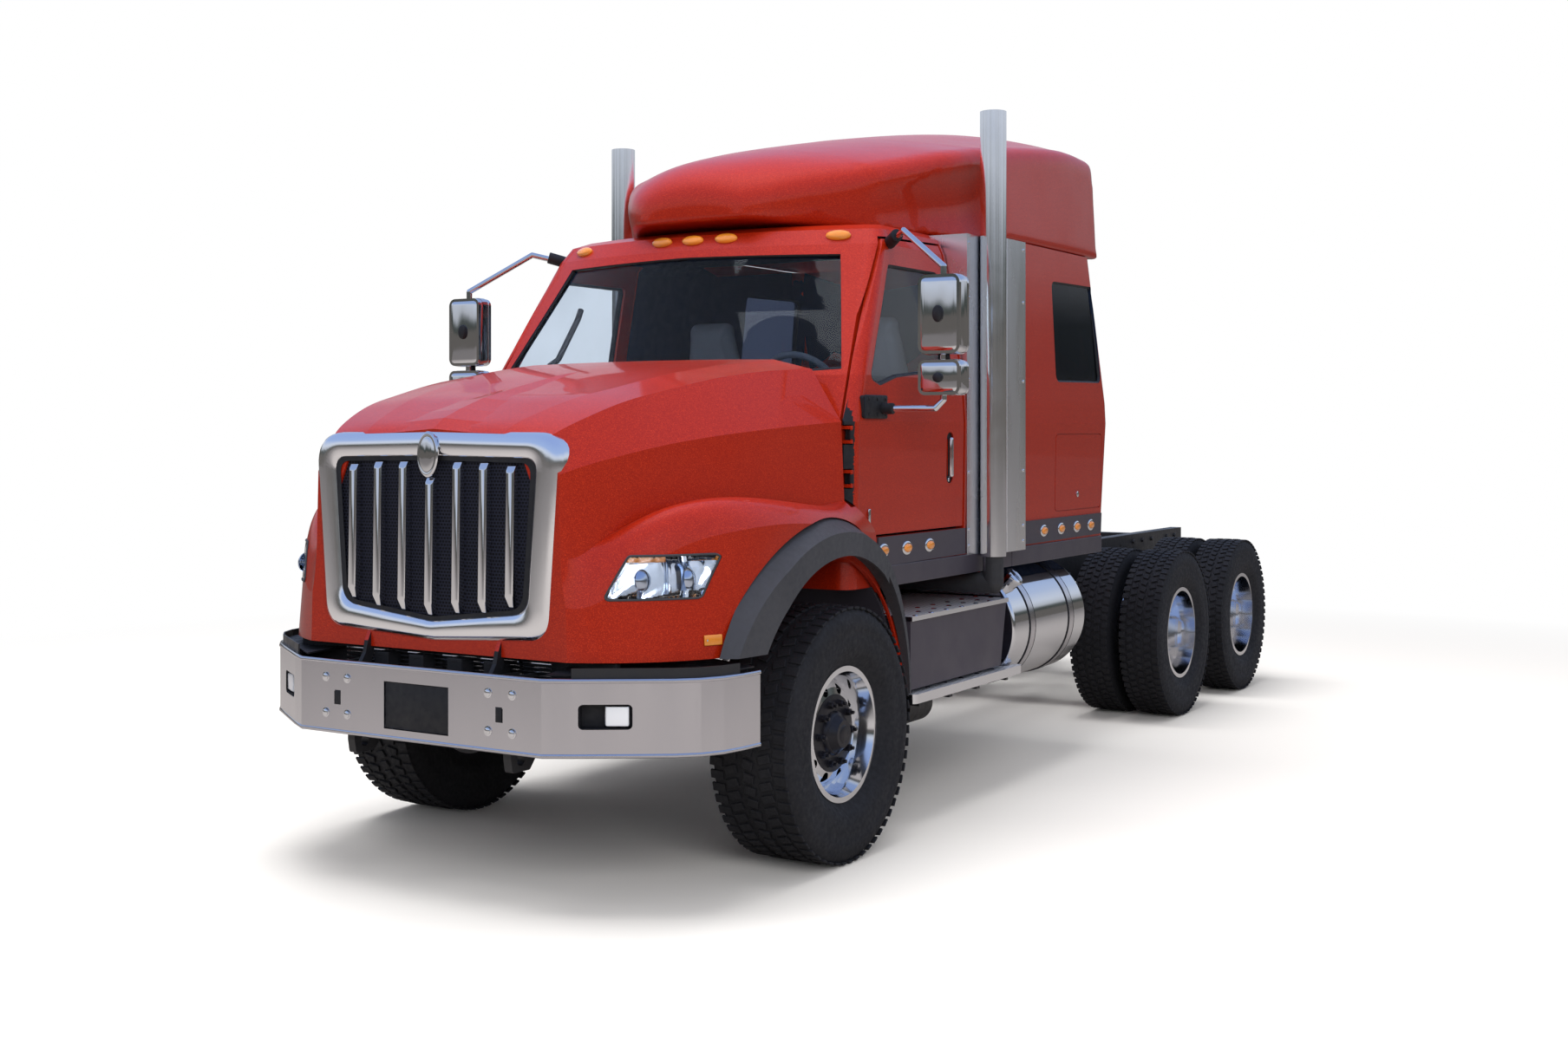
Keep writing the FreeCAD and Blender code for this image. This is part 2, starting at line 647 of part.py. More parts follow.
def cab_slice(slice_sizes, wall, rear, up=0):
    """Plan outline of the cab at one height, moved in by the wall's thickness."""
    height, half, corner_y, middle_y = slice_sizes
    half = half - wall
    corner_y = corner_y + wall
    middle_y = middle_y + wall
    soft = 70
    z = height + up
    nose = Part.Arc(Vector(half - soft, corner_y - 18, z), Vector(0, middle_y, z),
                    Vector(-half + soft, corner_y - 18, z)).toShape()
    turn_left = Part.Arc(Vector(half, corner_y + soft, z), Vector(half - 14, corner_y + 14, z),
                         Vector(half - soft, corner_y - 18, z)).toShape()
    turn_right = Part.Arc(Vector(-half + soft, corner_y - 18, z), Vector(-half + 14, corner_y + 14, z),
                          Vector(-half, corner_y + soft, z)).toShape()
    return Part.Wire([turn_left, nose, turn_right, line((-half, corner_y + soft, z), (-half, rear, z)),
                      line((-half, rear, z), (half, rear, z)), line((half, rear, z), (half, corner_y + soft, z))])


def cab_form(wall, rear, floor_up=0, roof_down=0):
    slices = list(CAB_SLICES)
    wires = []
    for index, slice_sizes in enumerate(slices):
        up = floor_up if index == 0 else 0
        if index == len(slices) - 1:
            up = -roof_down
        if index == len(slices) - 2:
            up = -roof_down
        wires.append(cab_slice(slice_sizes, wall, rear, up))
    return Part.makeLoft(wires, True, True)


def side_core(wall):
    """What lies inboard of a wall of this thickness on the cab's sides, at every height."""
    wires = []
    for height, half, corner_y, middle_y in CAB_SLICES:
        x = half - wall
        wires.append(outline([(-x, -400, height), (x, -400, height), (x, 3000, height), (-x, 3000, height)]))
    return Part.makeLoft(wires, True, True)


WINDOW_CORNERS = ((430, 2128), (530, 2098), (700, 2140), (1100, 2176), (1320, 2180), (1320, 2690),
                  (790, 2690))
SCREEN_CORNERS = ((0, 2752), (815, 2738), (1000, 2172), (0, 2120))


def door_outline(grow):
    """The door in side view; grow widens it for the opening it closes."""
    rear = size.door_rear + (size.door_rear_gap if grow else 0)
    low = size.door_low - grow
    return [(240 - grow * 0.4, 1580 - grow), (240 - grow * 0.4, 2130 + grow), (372 - grow, 2210 + grow),
            (792 - grow, 2815 + grow), (rear, 2835 + grow), (rear, low), (470 - grow, low)]


def windscreen_hole():
    return slab_y(closed_front_view(SCREEN_CORNERS), -100, 1000)


DOOR_HINGE_HEIGHTS = (1670, 1870)


def door_hinge(height):
    """One hinge: its fixed lugs with the pin, its knuckle on the door, and the door's notch for both."""
    x = size.door_hinge_x
    y = size.door_hinge_y
    fixed = Part.makeCylinder(6, 80, Vector(x, y, height - 40))
    for low in (height - 40, height + 25):
        fixed = fixed.fuse(block(x - 70, x, y - 8, y + 8, low, low + 15))
        fixed = fixed.fuse(Part.makeCylinder(8, 15, Vector(x, y, low)))
    knuckle = Part.makeCylinder(12, 40, Vector(x, y, height - 20))
    knuckle = knuckle.fuse(block(x - 16, x, y, y + 38, height - 20, height + 20))
    knuckle = knuckle.cut(Part.makeCylinder(6 + size.hinge_fit, 80, Vector(x, y, height - 40)))
    notch = block(x - 60, x + 20, y - 40, y + 14, height - 45, height + 45)
    return fixed, knuckle, notch


def cab():
    wall = size.cab_wall
    outer = cab_form(0, size.cab_rear)
    hollow = cab_form(wall, size.cab_rear + 100, wall, wall)
    shell = outer.cut(hollow)
    shell = shell.cut(windscreen_hole())
    opening = slab_x(door_outline(size.door_gap), 800, 1300).cut(side_core(size.door_wall + 12))
    shell = shell.cut(opening).cut(mirrored(opening))
    for height in DOOR_HINGE_HEIGHTS:
        hinge = door_hinge(height)[0]
        shell = shell.fuse(hinge).fuse(mirrored(hinge))
    return feature("cab", shell.removeSplitter())


cab()


def windscreen():
    inset = size.glass_inset
    outer = cab_form(inset, size.cab_rear + 10)
    inner = cab_form(inset + size.glass_wall, size.cab_rear + 20)
    glass = outer.cut(inner).common(windscreen_hole()).common(block(-1200, 1200, -100, 900, 1900, 2800))
    return glass


def doors():
    leaf = cab_form(0, size.cab_rear).common(slab_x(door_outline(0), 800, 1300))
    leaf = leaf.cut(side_core(size.door_wall))
    window = slab_x(WINDOW_CORNERS, 700, 1300, 30)
    leaf = leaf.cut(window)
    handle = slab_x([(1215, 1625), (1290, 1625), (1290, 1880), (1215, 1880)], 1090, 1300, 34)
    leaf = leaf.cut(handle.common(block(1098, 1300, 1000, 1400, 1500, 2000)))
    grip = slab_x([(1240, 1660), (1265, 1660), (1265, 1850), (1240, 1850)], 1098, 1124, 10)
    leaf = leaf.fuse(grip)
    for height in DOOR_HINGE_HEIGHTS:
        fixed, knuckle, notch = door_hinge(height)
        leaf = leaf.cut(notch).fuse(knuckle)
    glass_out = cab_form(size.glass_inset, size.cab_rear + 10)
    glass_in = cab_form(size.glass_inset + size.glass_wall, size.cab_rear + 20)
    glass = glass_out.cut(glass_in).common(window)
    leaf = sorted(leaf.Solids, key=lambda solid: solid.Volume)[-1]
    glass = sorted(glass.Solids, key=lambda solid: solid.Volume)[-1]
    for name, leaf_shape, glass_shape in (("left", leaf, glass), ("right", mirrored(leaf), mirrored(glass))):
        feature("door_" + name, leaf_shape)
        feature("door_glass_" + name, glass_shape)


doors()


# Mirrors: a polished tube loop on each door with a tall and a short head


def mirrors():
    route = [(1000, 825, 2800), (1130, 709, 2838), (1424, 536, 2640), (1424, 536, 2030),
             (1390, 520, 1990), (1116, 500, 1990)]
    loop = None
    for start, end in zip(route, route[1:]):
        run = rod(start, end, 15)
        loop = run if loop is None else loop.fuse(run)
    for point in route[1:-1]:
        loop = loop.fuse(Part.makeSphere(15, Vector(*point)))
    head = slab_y([(1317, 2238), (1527, 2238), (1527, 2600), (1317, 2600)], 490, 590, 40)
    small = slab_y([(1317, 2050), (1527, 2050), (1527, 2211), (1317, 2211)], 490, 590, 34)
    bracket = slab_x([(330, 1945), (560, 1945), (560, 2050), (330, 2050)], 1096, 1122, 14)
    clamp = rod((968, 850, 2792), (1022, 803, 2812), 24)
    loop = loop.fuse(head).fuse(small).fuse(bracket).fuse(clamp).cut(cab_form(-0.3, size.cab_rear))
    loop = sorted(loop.Solids, key=lambda solid: solid.Volume)[-1]
    feature("mirror_left", loop)
    feature("mirror_right", mirrored(loop))


mirrors()


# Sleeper: hollow box behind the cab, with side windows, under the high roof


def sleeper():
    wall = size.cab_wall
    front = size.cab_rear + 0.3
    rear = size.sleeper_rear
    slices = ((1165, 1100, -60), (1400, cab_side_at(1400), -55), (1930, 1112, 0), (2050, 1106, 0),
              (size.seam_z, 1042, -125))

    def form(inset, grow_front, rear_in, bottom_up, top_up):
        wires = []
        for index, (height, half, rear_shift) in enumerate(slices):
            z = height + (bottom_up if index == 0 else 0) + (top_up if index == len(slices) - 1 else 0)
            x = half - inset
            back = rear + rear_shift - rear_in
            wires.append(outline([(-x, front - grow_front, z), (x, front - grow_front, z), (x, back, z),
                                  (-x, back, z)], [0, 0, 60, 60]))
        return Part.makeLoft(wires, True, True)

    shell = form(0, 0, 0, 0, 0).cut(form(wall, 50, wall, wall, 50))
    window = slab_x([(2660, 2165), (3360, 2175), (3330, 2755), (2690, 2745)], 900, 1300, 45)
    shell = shell.cut(window).cut(mirrored(window))
    edge = size.locker_seam
    seam = slab_x([(2620, 1425), (3340, 1425), (3340, 1870), (2620, 1870)], 900, 1300, 35)
    seam = seam.cut(slab_x([(2620 + edge, 1425 + edge), (3340 - edge, 1425 + edge),
                            (3340 - edge, 1870 - edge), (2620 + edge, 1870 - edge)], 899, 1301, 35 - edge))
    seam = seam.cut(form(edge, 20, edge, 20, 20))
    shell = shell.cut(seam).cut(mirrored(seam))
    feature("sleeper", shell.removeSplitter())
    inset = size.glass_inset
    glass = form(inset, 50, inset, 0, 0).cut(form(inset + size.glass_wall, 60, inset + size.glass_wall, 0, 60))
    glass = glass.common(window)
    glass = sorted(glass.Solids, key=lambda solid: solid.Volume)[-1]
    feature("glazing", Part.makeCompound([windscreen()] + both_sides(glass)))


sleeper()


# High roof: a long fairing over the cab that rises to the sleeper's roof


ROOF_STATIONS = (
    # y, then (x, z) from the crest to the shoulder, round the corner and down to the lower edge
    (560, (0, 3100), (130, 3092), (240, 3062), (285, 3036), (300, 2998), (292, 2965), (270, 2935)),
    (640, (0, 3190), (190, 3178), (350, 3124), (410, 3082), (430, 3018), (418, 2965), (390, 2925)),
    (820, (0, 3282), (270, 3262), (480, 3190), (556, 3136), (580, 3054), (556, 2975), (530, 2912)),
    (1150, (0, 3372), (360, 3340), (690, 3262), (782, 3212), (806, 3142), (760, 3010), (770, 2903)),
    (1600, (0, 3468), (420, 3432), (840, 3362), (936, 3318), (955, 3252), (880, 3070), (925, 2903)),
    (1880, (0, 3524), (440, 3488), (880, 3412), (966, 3372), (988, 3310), (940, 3095), (1000, 2912)),
    (2000, (0, 3548), (450, 3510), (890, 3432), (974, 3394), (996, 3330), (1016, 3080), (1034, 2931)),
    (2600, (0, 3655), (470, 3612), (900, 3514), (980, 3482), (1003, 3424), (1024, 3120), (1040, 2931)),
    (3100, (0, 3722), (480, 3674), (905, 3562), (982, 3532), (1006, 3478), (1026, 3150), (1041, 2931)),
    (3480, (0, 3714), (480, 3666), (905, 3554), (978, 3524), (1002, 3470), (1020, 3150), (1036, 2931)),
)


def roof_section(station, wall, y_shift=0, drop=0):
    y = station[0] + y_shift
    half = inward(list(station[1:]), wall) if wall else list(station[1:])
    half[-1] = (half[-1][0], half[-1][1] - drop)
    points = [(x, y, z) for x, z in half]
    other = [(-x, y, z) for x, y, z in points]
    crown = curve(other[2:0:-1] + points[0:3])
    return Part.Wire([crown, curve(points[2:5]), curve(points[4:7]), line(points[6], other[6]),
                      curve(other[6:3:-1]), curve(other[4:1:-1])])


def eased(stations, steps):
    """More stations between the given ones, on a smooth curve through them all."""
    rows = [[station[0]] + [value for pair in station[1:] for value in pair] for station in stations]
    result = []
    for index in range(len(rows) - 1):
        before = rows[max(index - 1, 0)]
        start = rows[index]
        end = rows[index + 1]
        after = rows[min(index + 2, len(rows) - 1)]
        for step in range(steps):
            t = step / steps
            row = [0.5 * (2 * b + (c - a) * t + (2 * a - 5 * b + 4 * c - d) * t * t
                          + (3 * b - a - 3 * c + d) * t ** 3)
                   for a, b, c, d in zip(before, start, end, after)]
            result.append(row)
    result.append(rows[-1])
    return [(row[0],) + tuple(zip(row[1::2], row[2::2])) for row in result]


def roof_fairing():
    wall = size.fairing_wall
    outer = Part.makeLoft([roof_section(station, 0) for station in eased(ROOF_STATIONS, 3)], True, True)
    inner_stations = ROOF_STATIONS[1:]
    shifts = [40] + [0] * (len(inner_stations) - 2) + [-wall]
    hollow = Part.makeLoft([roof_section(station, wall, shift, 200)
                            for station, shift in zip(inner_stations, shifts)], True, True)
    room = block(-1100, 1100, size.cab_rear + 60, 3600, 2800, 3800)
    over_cab = block(-1100, 1100, 0, size.cab_rear + 61, 2980, 3800)
    hollow = hollow.common(room.fuse(over_cab))
    seat = block(-1200, 1200, 0, size.cab_rear, 2000, size.cab_roof + 0.3)
    seat = seat.fuse(block(-1200, 1200, size.cab_rear - 1, 4000, 2000, size.seam_z + 0.3))
    seat = seat.fuse(cab_form(-0.4, size.cab_rear))
    shell = outer.cut(hollow).cut(seat)
    shell = shell.cut(block(-1200, 1200, size.sleeper_rear - 125 + 150, 4000, 2900, 3050))
    shell = sorted(shell.Solids, key=lambda solid: solid.Volume)[-1]
    return feature("roof_fairing", shell)


roof_fairing()


# Inside the cab: dash with its steering wheel, two seats


def dash():
    top = slab_x([(300, 1600), (330, 2100), (480, 2150), (640, 2080), (700, 1900), (640, 1600)],
                 -1040, 1040, 40)
    top = top.common(cab_form(size.cab_wall + 0.3, size.cab_rear)).common(side_core(130))
    top = top.cut(slab_x([(300, 1500), (600, 1500), (560, 1800), (300, 1800)], -1100, 1100))
    column = rod((460, 640, 1950), (460, 900, 2080), 32)
    wheel = Part.makeTorus(215, 17, Vector(0, 0, 0), Vector(0, 0.85, 0.53))
    wheel.translate(Vector(460, 905, 2083))
    spoke = Part.makeCylinder(60, 24, Vector(460, 890, 2075), Vector(0, 0.85, 0.53))
    arm = block(460 - 205, 460 + 205, 888, 912, 2068, 2090)
    piece = top.fuse(column).fuse(spoke).fuse(arm).fuse(wheel)
    return feature("dash", sorted(piece.Solids, key=lambda solid: solid.Volume)[-1])


def seats():
    pieces = []
    for side in (1, -1):
        x = side * 520
        floor = size.cab_floor + size.cab_wall
        base = block(x - 190, x + 190, 1150, 1560, floor, 1560)
        cushion = slab_x([(1080, 1560), (1620, 1560), (1620, 1680), (1080, 1700)], x - 250, x + 250, 45)
        back = slab_x([(1560, 1640), (1690, 1640), (1800, 2330), (1690, 2340)], x - 240, x + 240, 40)
        head = slab_x([(1690, 2325), (1800, 2325), (1830, 2560), (1730, 2570)], x - 130, x + 130, 40)
        pieces.append(base.fuse(cushion).fuse(back).fuse(head).removeSplitter())
    return feature("seats", Part.makeCompound(pieces))


dash()
seats()


# Exhaust stacks and their heat shields behind the doors


def shield_face():
    """Half width of the heat shield's flat part, which lies against the cab's side."""
    return size.cab_side + size.stack_fit


def stacks():
    """Each tube stands against its heat shield, on a pipe that comes out over the rail."""
    radius = size.stack_radius
    x = shield_face() + size.shield_wall + size.stack_fit + radius
    y = size.stack_y
    low = size.stack_low
    tube = Part.makeCylinder(radius, size.stack_top - low, Vector(x, y, low))
    tube = tube.cut(Part.makeCylinder(radius - 5, 400, Vector(x, y, size.stack_top - 300)))
    elbow = Part.makeCylinder(radius - 14, low - size.pipe_z, Vector(x, y, size.pipe_z))
    knee = Part.makeSphere(radius - 14, Vector(x, y, size.pipe_z))
    pipe = rod((x, y, size.pipe_z), (size.rail_outer + size.stack_fit, y, size.pipe_z), radius - 14)
    stack = tube.fuse(elbow).fuse(knee).fuse(pipe).removeSplitter()
    return feature("exhaust_stacks", Part.makeCompound(both_sides(stack)))


def heat_shields():
    wall = size.shield_wall
    x = shield_face()
    front = size.door_rear + size.door_rear_gap + 10
    bulge = x + wall + size.shield_bulge
    behind = size.stack_y + size.stack_radius + 30
    rear = size.cab_rear + 40
    panel = slab_z([(x, front), (x + wall, front), (x + wall, behind), (bulge, behind + 55),
                    (bulge, rear - wall), (x + wall, rear), (x, rear), (x, rear - wall),
                    (bulge - wall, rear - 2 * wall), (bulge - wall, behind + 58), (x, behind + 5)],
                   size.shield_low, size.shield_top)
    lip = block(850, x + wall, front, front + wall, size.shield_low, size.shield_top)
    lip = lip.cut(cab_form(-size.stack_fit, size.cab_rear)).Solids[0]
    panel = panel.fuse(lip).removeSplitter()
    return feature("heat_shields", Part.makeCompound(both_sides(panel)))


stacks()
heat_shields()


# Fuel tanks with straps, step boxes, steps and sill trim


def tanks():
    pieces = []
    straps = []
    for side in (1, -1):
        x = side * size.tank_x
        front = size.tank_front
        length = size.tank_length
        radius = size.tank_radius
        tank = Part.makeCylinder(radius, length, Vector(x, front, size.tank_z), Vector(0, 1, 0))
        tank = tank.makeFillet(18, [edge for edge in tank.Edges if edge.Closed and edge.Length > 1500])
        lean = math.sqrt(0.5)
        root = Vector(x + side * (radius - 30) * lean, front + 110, size.tank_z + (radius - 30) * lean)
        neck = Part.makeCylinder(48, 80, root, Vector(side * lean, 0, lean))
        pieces.append(tank.fuse(neck).removeSplitter())
        for along in (210, 760):
            ring = Part.makeCylinder(radius + size.strap_wall, size.strap_width,
                                     Vector(x, front + along, size.tank_z), Vector(0, 1, 0))
            ring = ring.cut(Part.makeCylinder(radius + 0.3, size.strap_width,
                                              Vector(x, front + along, size.tank_z), Vector(0, 1, 0)))
            inner_x = size.rail_outer + 0.2
            arm = block(inner_x, inner_x + 130, front + along, front + along + size.strap_width, 470, 1080)
            if side < 0:
                arm = mirrored(arm)
            arm = arm.cut(Part.makeCylinder(radius + 0.3, size.strap_width,
                                            Vector(x, front + along, size.tank_z), Vector(0, 1, 0)))
            straps.append(ring.fuse(arm).removeSplitter())
    feature("fuel_tanks", Part.makeCompound(pieces))
    feature("tank_straps", Part.makeCompound(straps))


def step_boxes():
    outer = size.box_outer
    inner = size.rail_outer + 0.2
    front = size.box_front
    pieces = []
    side_view = [(front, size.box_low), (front, size.box_top - size.tread_wall),
                 (size.box_rear, size.box_top - size.tread_wall), (size.box_rear - 70, size.box_low)]
    box = slab_x(side_view, 470, outer, 0)
    carrier = block(inner, 470, front + 100, front + 240, 860, 960)
    carrier = carrier.fuse(block(inner, 470, front + 860, front + 1000, 860, 960))
    tread = slab_x([(front - 5, size.box_top - size.tread_wall), (front - 5, size.box_top),
                    (size.box_rear + 5, size.box_top), (size.box_rear + 5, size.box_top - size.tread_wall)],
                   560, outer + 12)
    pieces = both_sides(box.fuse(carrier).removeSplitter()) + both_sides(splash_guard())
    feature("step_boxes", Part.makeCompound(pieces))
    lower = slab_z([(900, front - 5), (size.step_outer, front - 5), (size.step_outer, 2035), (900, 2035)],
                   size.step_top - size.step_wall, size.step_top, [0, 30, 30, 0])
    lower = lower.cut(Part.makeCylinder(size.tank_radius + 10, size.tank_length,
                                        Vector(size.tank_x, size.tank_front - 10, size.tank_z),
                                        Vector(0, 1, 0)))
    feature("step_treads", Part.makeCompound(both_sides(tread) + both_sides(lower)))


def splash_guard():
    """Curved guard behind the front wheel, hung under the cab's floor."""
    guard = inner_arch(size.liner_inner_x, 1110, size.liner_wall)
    guard = guard.cut(inner_arch(size.liner_inner_x - 1, 1111))
    return guard.common(block(0, 1200, 300, 1000, size.arch_low, size.cab_floor - 0.2))


def chassis_brackets():
    """Hangers of the step boxes with the air tanks below them, and the mounts under the cab."""
    inner = size.rail_outer + 0.2
    under_box = size.box_low - 0.3
    under_step = size.step_top - size.step_wall - 0.3
    low = under_step - 25
    pieces = []
    for along in (870, 1200, 1520):
        hanger = slab_y([(560, under_box), (700, under_box), (890, under_step), (1130, under_step),
                         (1130, low), (560, low)], along, along + 40)
        if along > 1000:
            tank = Part.makeCylinder(105, 260, Vector(700, along - 110, 450), Vector(0, 1, 0))
            strap = block(640, 760, along, along + 40, 480, low + 5)
            hanger = hanger.fuse(tank).fuse(strap).removeSplitter()
        pieces.append(hanger)
    rear = size.box_rear + 10
    pieces.append(slab_y([(inner, 900), (560, 900), (640, 640), (890, under_step), (1130, under_step),
                          (1130, low), (inner, low)], rear, rear + 25))
    floor = size.cab_floor - 0.2
    for along in (420, 1340, 3150):
        pieces.append(slab_y([(inner, 960), (inner + 20, 960), (inner + 90, size.rail_top), (inner + 90, floor),
                              (inner, floor)], along, along + 120))
    pieces = pieces + [mirrored(piece) for piece in pieces]
    feature("step_brackets", Part.makeCompound(pieces))


tanks()
step_boxes()
chassis_brackets()


def sill_trim():
    """Dark sill panel under the doors and the sleeper, broken by the heat shields."""
    face = cab_side_at(1392) + 0.3
    outer = face + size.trim_wall
    fore = slab_x([(490, 1392), (1424, 1392), (1424, 1262), (490, 1255)], face, outer)
    aft = slab_x([(2010, 1392), (3330, 1392), (3318, 1270), (2010, 1264)], face, outer)
    return feature("sill_trim", Part.makeCompound(both_sides(fore) + both_sides(aft)))


sill_trim()


def marker_lamps():
    lamps = []
    face = cab_side_at(1392) + 0.3 + size.trim_wall + 0.2
    for along in (539, 776, 1016, 2442, 2694, 2931, 3150):
        lamp = Part.makeCylinder(24, 8, Vector(face, along, 1328), Vector(1, 0, 0))
        lamps.extend(both_sides(lamp))
    for across, along in ((0, 600), (195, 612), (-195, 612), (780, 775), (-780, 775)):
        lamp = block(across - 55, across + 55, along, along + 60, 2835, 2895)
        lamp = lamp.cut(cab_form(-0.2, size.cab_rear))
        lamps.extend(lamp.Solids[:1])
    return feature("marker_lamps", Part.makeCompound(lamps))


marker_lamps()


# Front axle, springs and knuckles


def front_axle():
    z = size.steer_tyre_radius
    boss_x = size.kingpin_x
    ends = []
    beam = slab_y([(-boss_x, z - 55), (-boss_x + 120, z - 70), (-560, z - 150), (560, z - 150),
                   (boss_x - 120, z - 70), (boss_x, z - 55), (boss_x, z + 45), (boss_x - 140, z + 30),
                   (540, z - 60), (-540, z - 60), (-boss_x + 140, z + 30), (-boss_x, z + 45)], -50, 50)
    for side in (1, -1):
        boss = Part.makeCylinder(size.boss_radius, 160, Vector(side * boss_x, 0, z - 80))
        beam = beam.fuse(boss)
    for side in (1, -1):
        clear = block(0, 200, -200, 200, z - 400, z + 400)
        clear.translate(Vector(boss_x, 0, 0))
        clear = clear.cut(Part.makeCylinder(size.boss_radius, 1000, Vector(boss_x, 0, z - 500)))
        beam = beam.cut(clear if side > 0 else mirrored(clear))
        hole = Part.makeCylinder(size.kingpin_radius + size.kingpin_fit, 1000,
                                 Vector(side * boss_x, 0, z - 500))
        beam = beam.cut(hole)
    return feature("front_axle", beam.removeSplitter())


def front_springs():
    z = size.steer_tyre_radius - 60
    pieces = []
    x0 = size.rail_outer - 90
    leaf = [(-780, 800), (-400, z + 130), (-90, z + 92), (90, z + 92), (400, z + 130), (780, 800),
            (780, 835), (400, z + 172), (90, z + 136), (-90, z + 136), (-400, z + 172), (-780, 835)]
    spring = slab_x(leaf, x0, x0 + 80)
    pad = block(x0, x0 + 80, -90, 90, z + 0.2, z + 92)
    low = size.rail_top - size.rail_depth
    hanger = block(x0, x0 + 80, -830, -760, 790, low - 0.2)
    shackle = block(x0, x0 + 80, 760, 830, 790, low - 0.2)
    piece = spring.fuse(pad).fuse(hanger).fuse(shackle).removeSplitter()
    return both_sides(piece)


front_axle()


def knuckles():
    z = size.steer_tyre_radius
    x = size.kingpin_x
    reach = size.boss_radius + size.running_gap
    pin = Part.makeCylinder(size.kingpin_radius, 300, Vector(x, 0, z - 150))
    upper = slab_z([(x - 45, -55), (x + reach + 40, -55), (x + reach + 40, 55), (x - 45, 55)],
                   z + 88, z + 150, 30)
    lower = slab_z([(x - 45, -55), (x + reach + 40, -55), (x + reach + 40, 55), (x - 45, 55)],
                   z - 150, z - 88, 30)
    web = block(x + reach + 4, x + reach + 44, -55, 55, z - 150, z + 150)
    brake = Part.makeCylinder(190, 30, Vector(x + reach + 10, 0, z), Vector(1, 0, 0))
    spindle = Part.makeCylinder(size.hub_bore - size.hub_fit, 90, Vector(x + reach + 44, 0, z),
                                Vector(1, 0, 0))
    arm = slab_z([(x + 20, 30), (x - 30, -20), (x - 130, 200), (x - 130, 260), (x - 90, 260),
                  (x - 66, 190)], z - 145, z - 105, 6)
    piece = pin.fuse(upper).fuse(lower).fuse(web).fuse(spindle).fuse(brake).fuse(arm).removeSplitter()
    feature("knuckle_left", piece)
    feature("knuckle_right", mirrored(piece))


knuckles()


# Wheels: each tyre and wheel is drawn about its own centre, and its Placement sets it on its axle


def tyre(radius, width):
    """Tyre section turned about its axle, with round shoulders and a bead bore."""
    half = width / 2
    bore = size.rim_radius + size.rim_fit
    profile = [(-half * 0.72, bore + 14), (-half * 0.72, bore), (half * 0.72, bore),
               (half * 0.72, bore + 14), (half * 0.93, bore + (radius - bore) * 0.22),
               (half, bore + (radius - bore) * 0.5), (half * 0.97, bore + (radius - bore) * 0.8),
               (half * 0.88, radius - 6), (half * 0.78, radius), (-half * 0.78, radius),
               (-half * 0.88, radius - 6), (-half * 0.97, bore + (radius - bore) * 0.8),
               (-half, bore + (radius - bore) * 0.5), (-half * 0.93, bore + (radius - bore) * 0.22)]
    return revolved_about_x(profile)


def steer_wheels():
    along = "0"
    up = "$steer_tyre_radius"
    half = size.steer_tyre_width / 2 * 0.72
    rim = size.rim_radius
    reach = size.boss_radius + size.running_gap
    hub_inner = size.kingpin_x + reach + 44 + 6 - size.steer_wheel_x
    flange = half + size.rim_fit
    hub = size.hub_bore
    profile = [(-half, rim), (flange, rim), (flange, rim + 12), (half + 8, rim + 12), (half + 8, rim - 12),
               (half - 60, rim - 34), (50, rim - 45), (62, rim - 60), (88, rim - 85), (96, rim - 120),
               (96, 90), (120, 84), (150, 60), (150, 0), (104, 0), (104, hub), (hub_inner, hub),
               (hub_inner, 118), (66, 118), (66, rim - 125), (50, rim - 95), (20, rim - 64),
               (-half, rim - 24)]
    wheel = revolved_about_x(profile)
    for turn in range(10):
        angle = math.radians(36 * turn)
        hole = Part.makeCylinder(22, 120, Vector(20, 195 * math.cos(angle), 195 * math.sin(angle)),
                                 Vector(1, 0, 0))
        wheel = wheel.cut(hole)
    wheel = wheel.removeSplitter()
    for name, side in (("left", 1), ("right", -1)):
        across = ("" if side > 0 else "-") + "$steer_wheel_x"
        shape = tyre(size.steer_tyre_radius, size.steer_tyre_width)
        feature("tyre_front_" + name, shape, along, across, up)
        feature("wheel_front_" + name, wheel if side > 0 else mirrored(wheel), along, across, up)


steer_wheels()


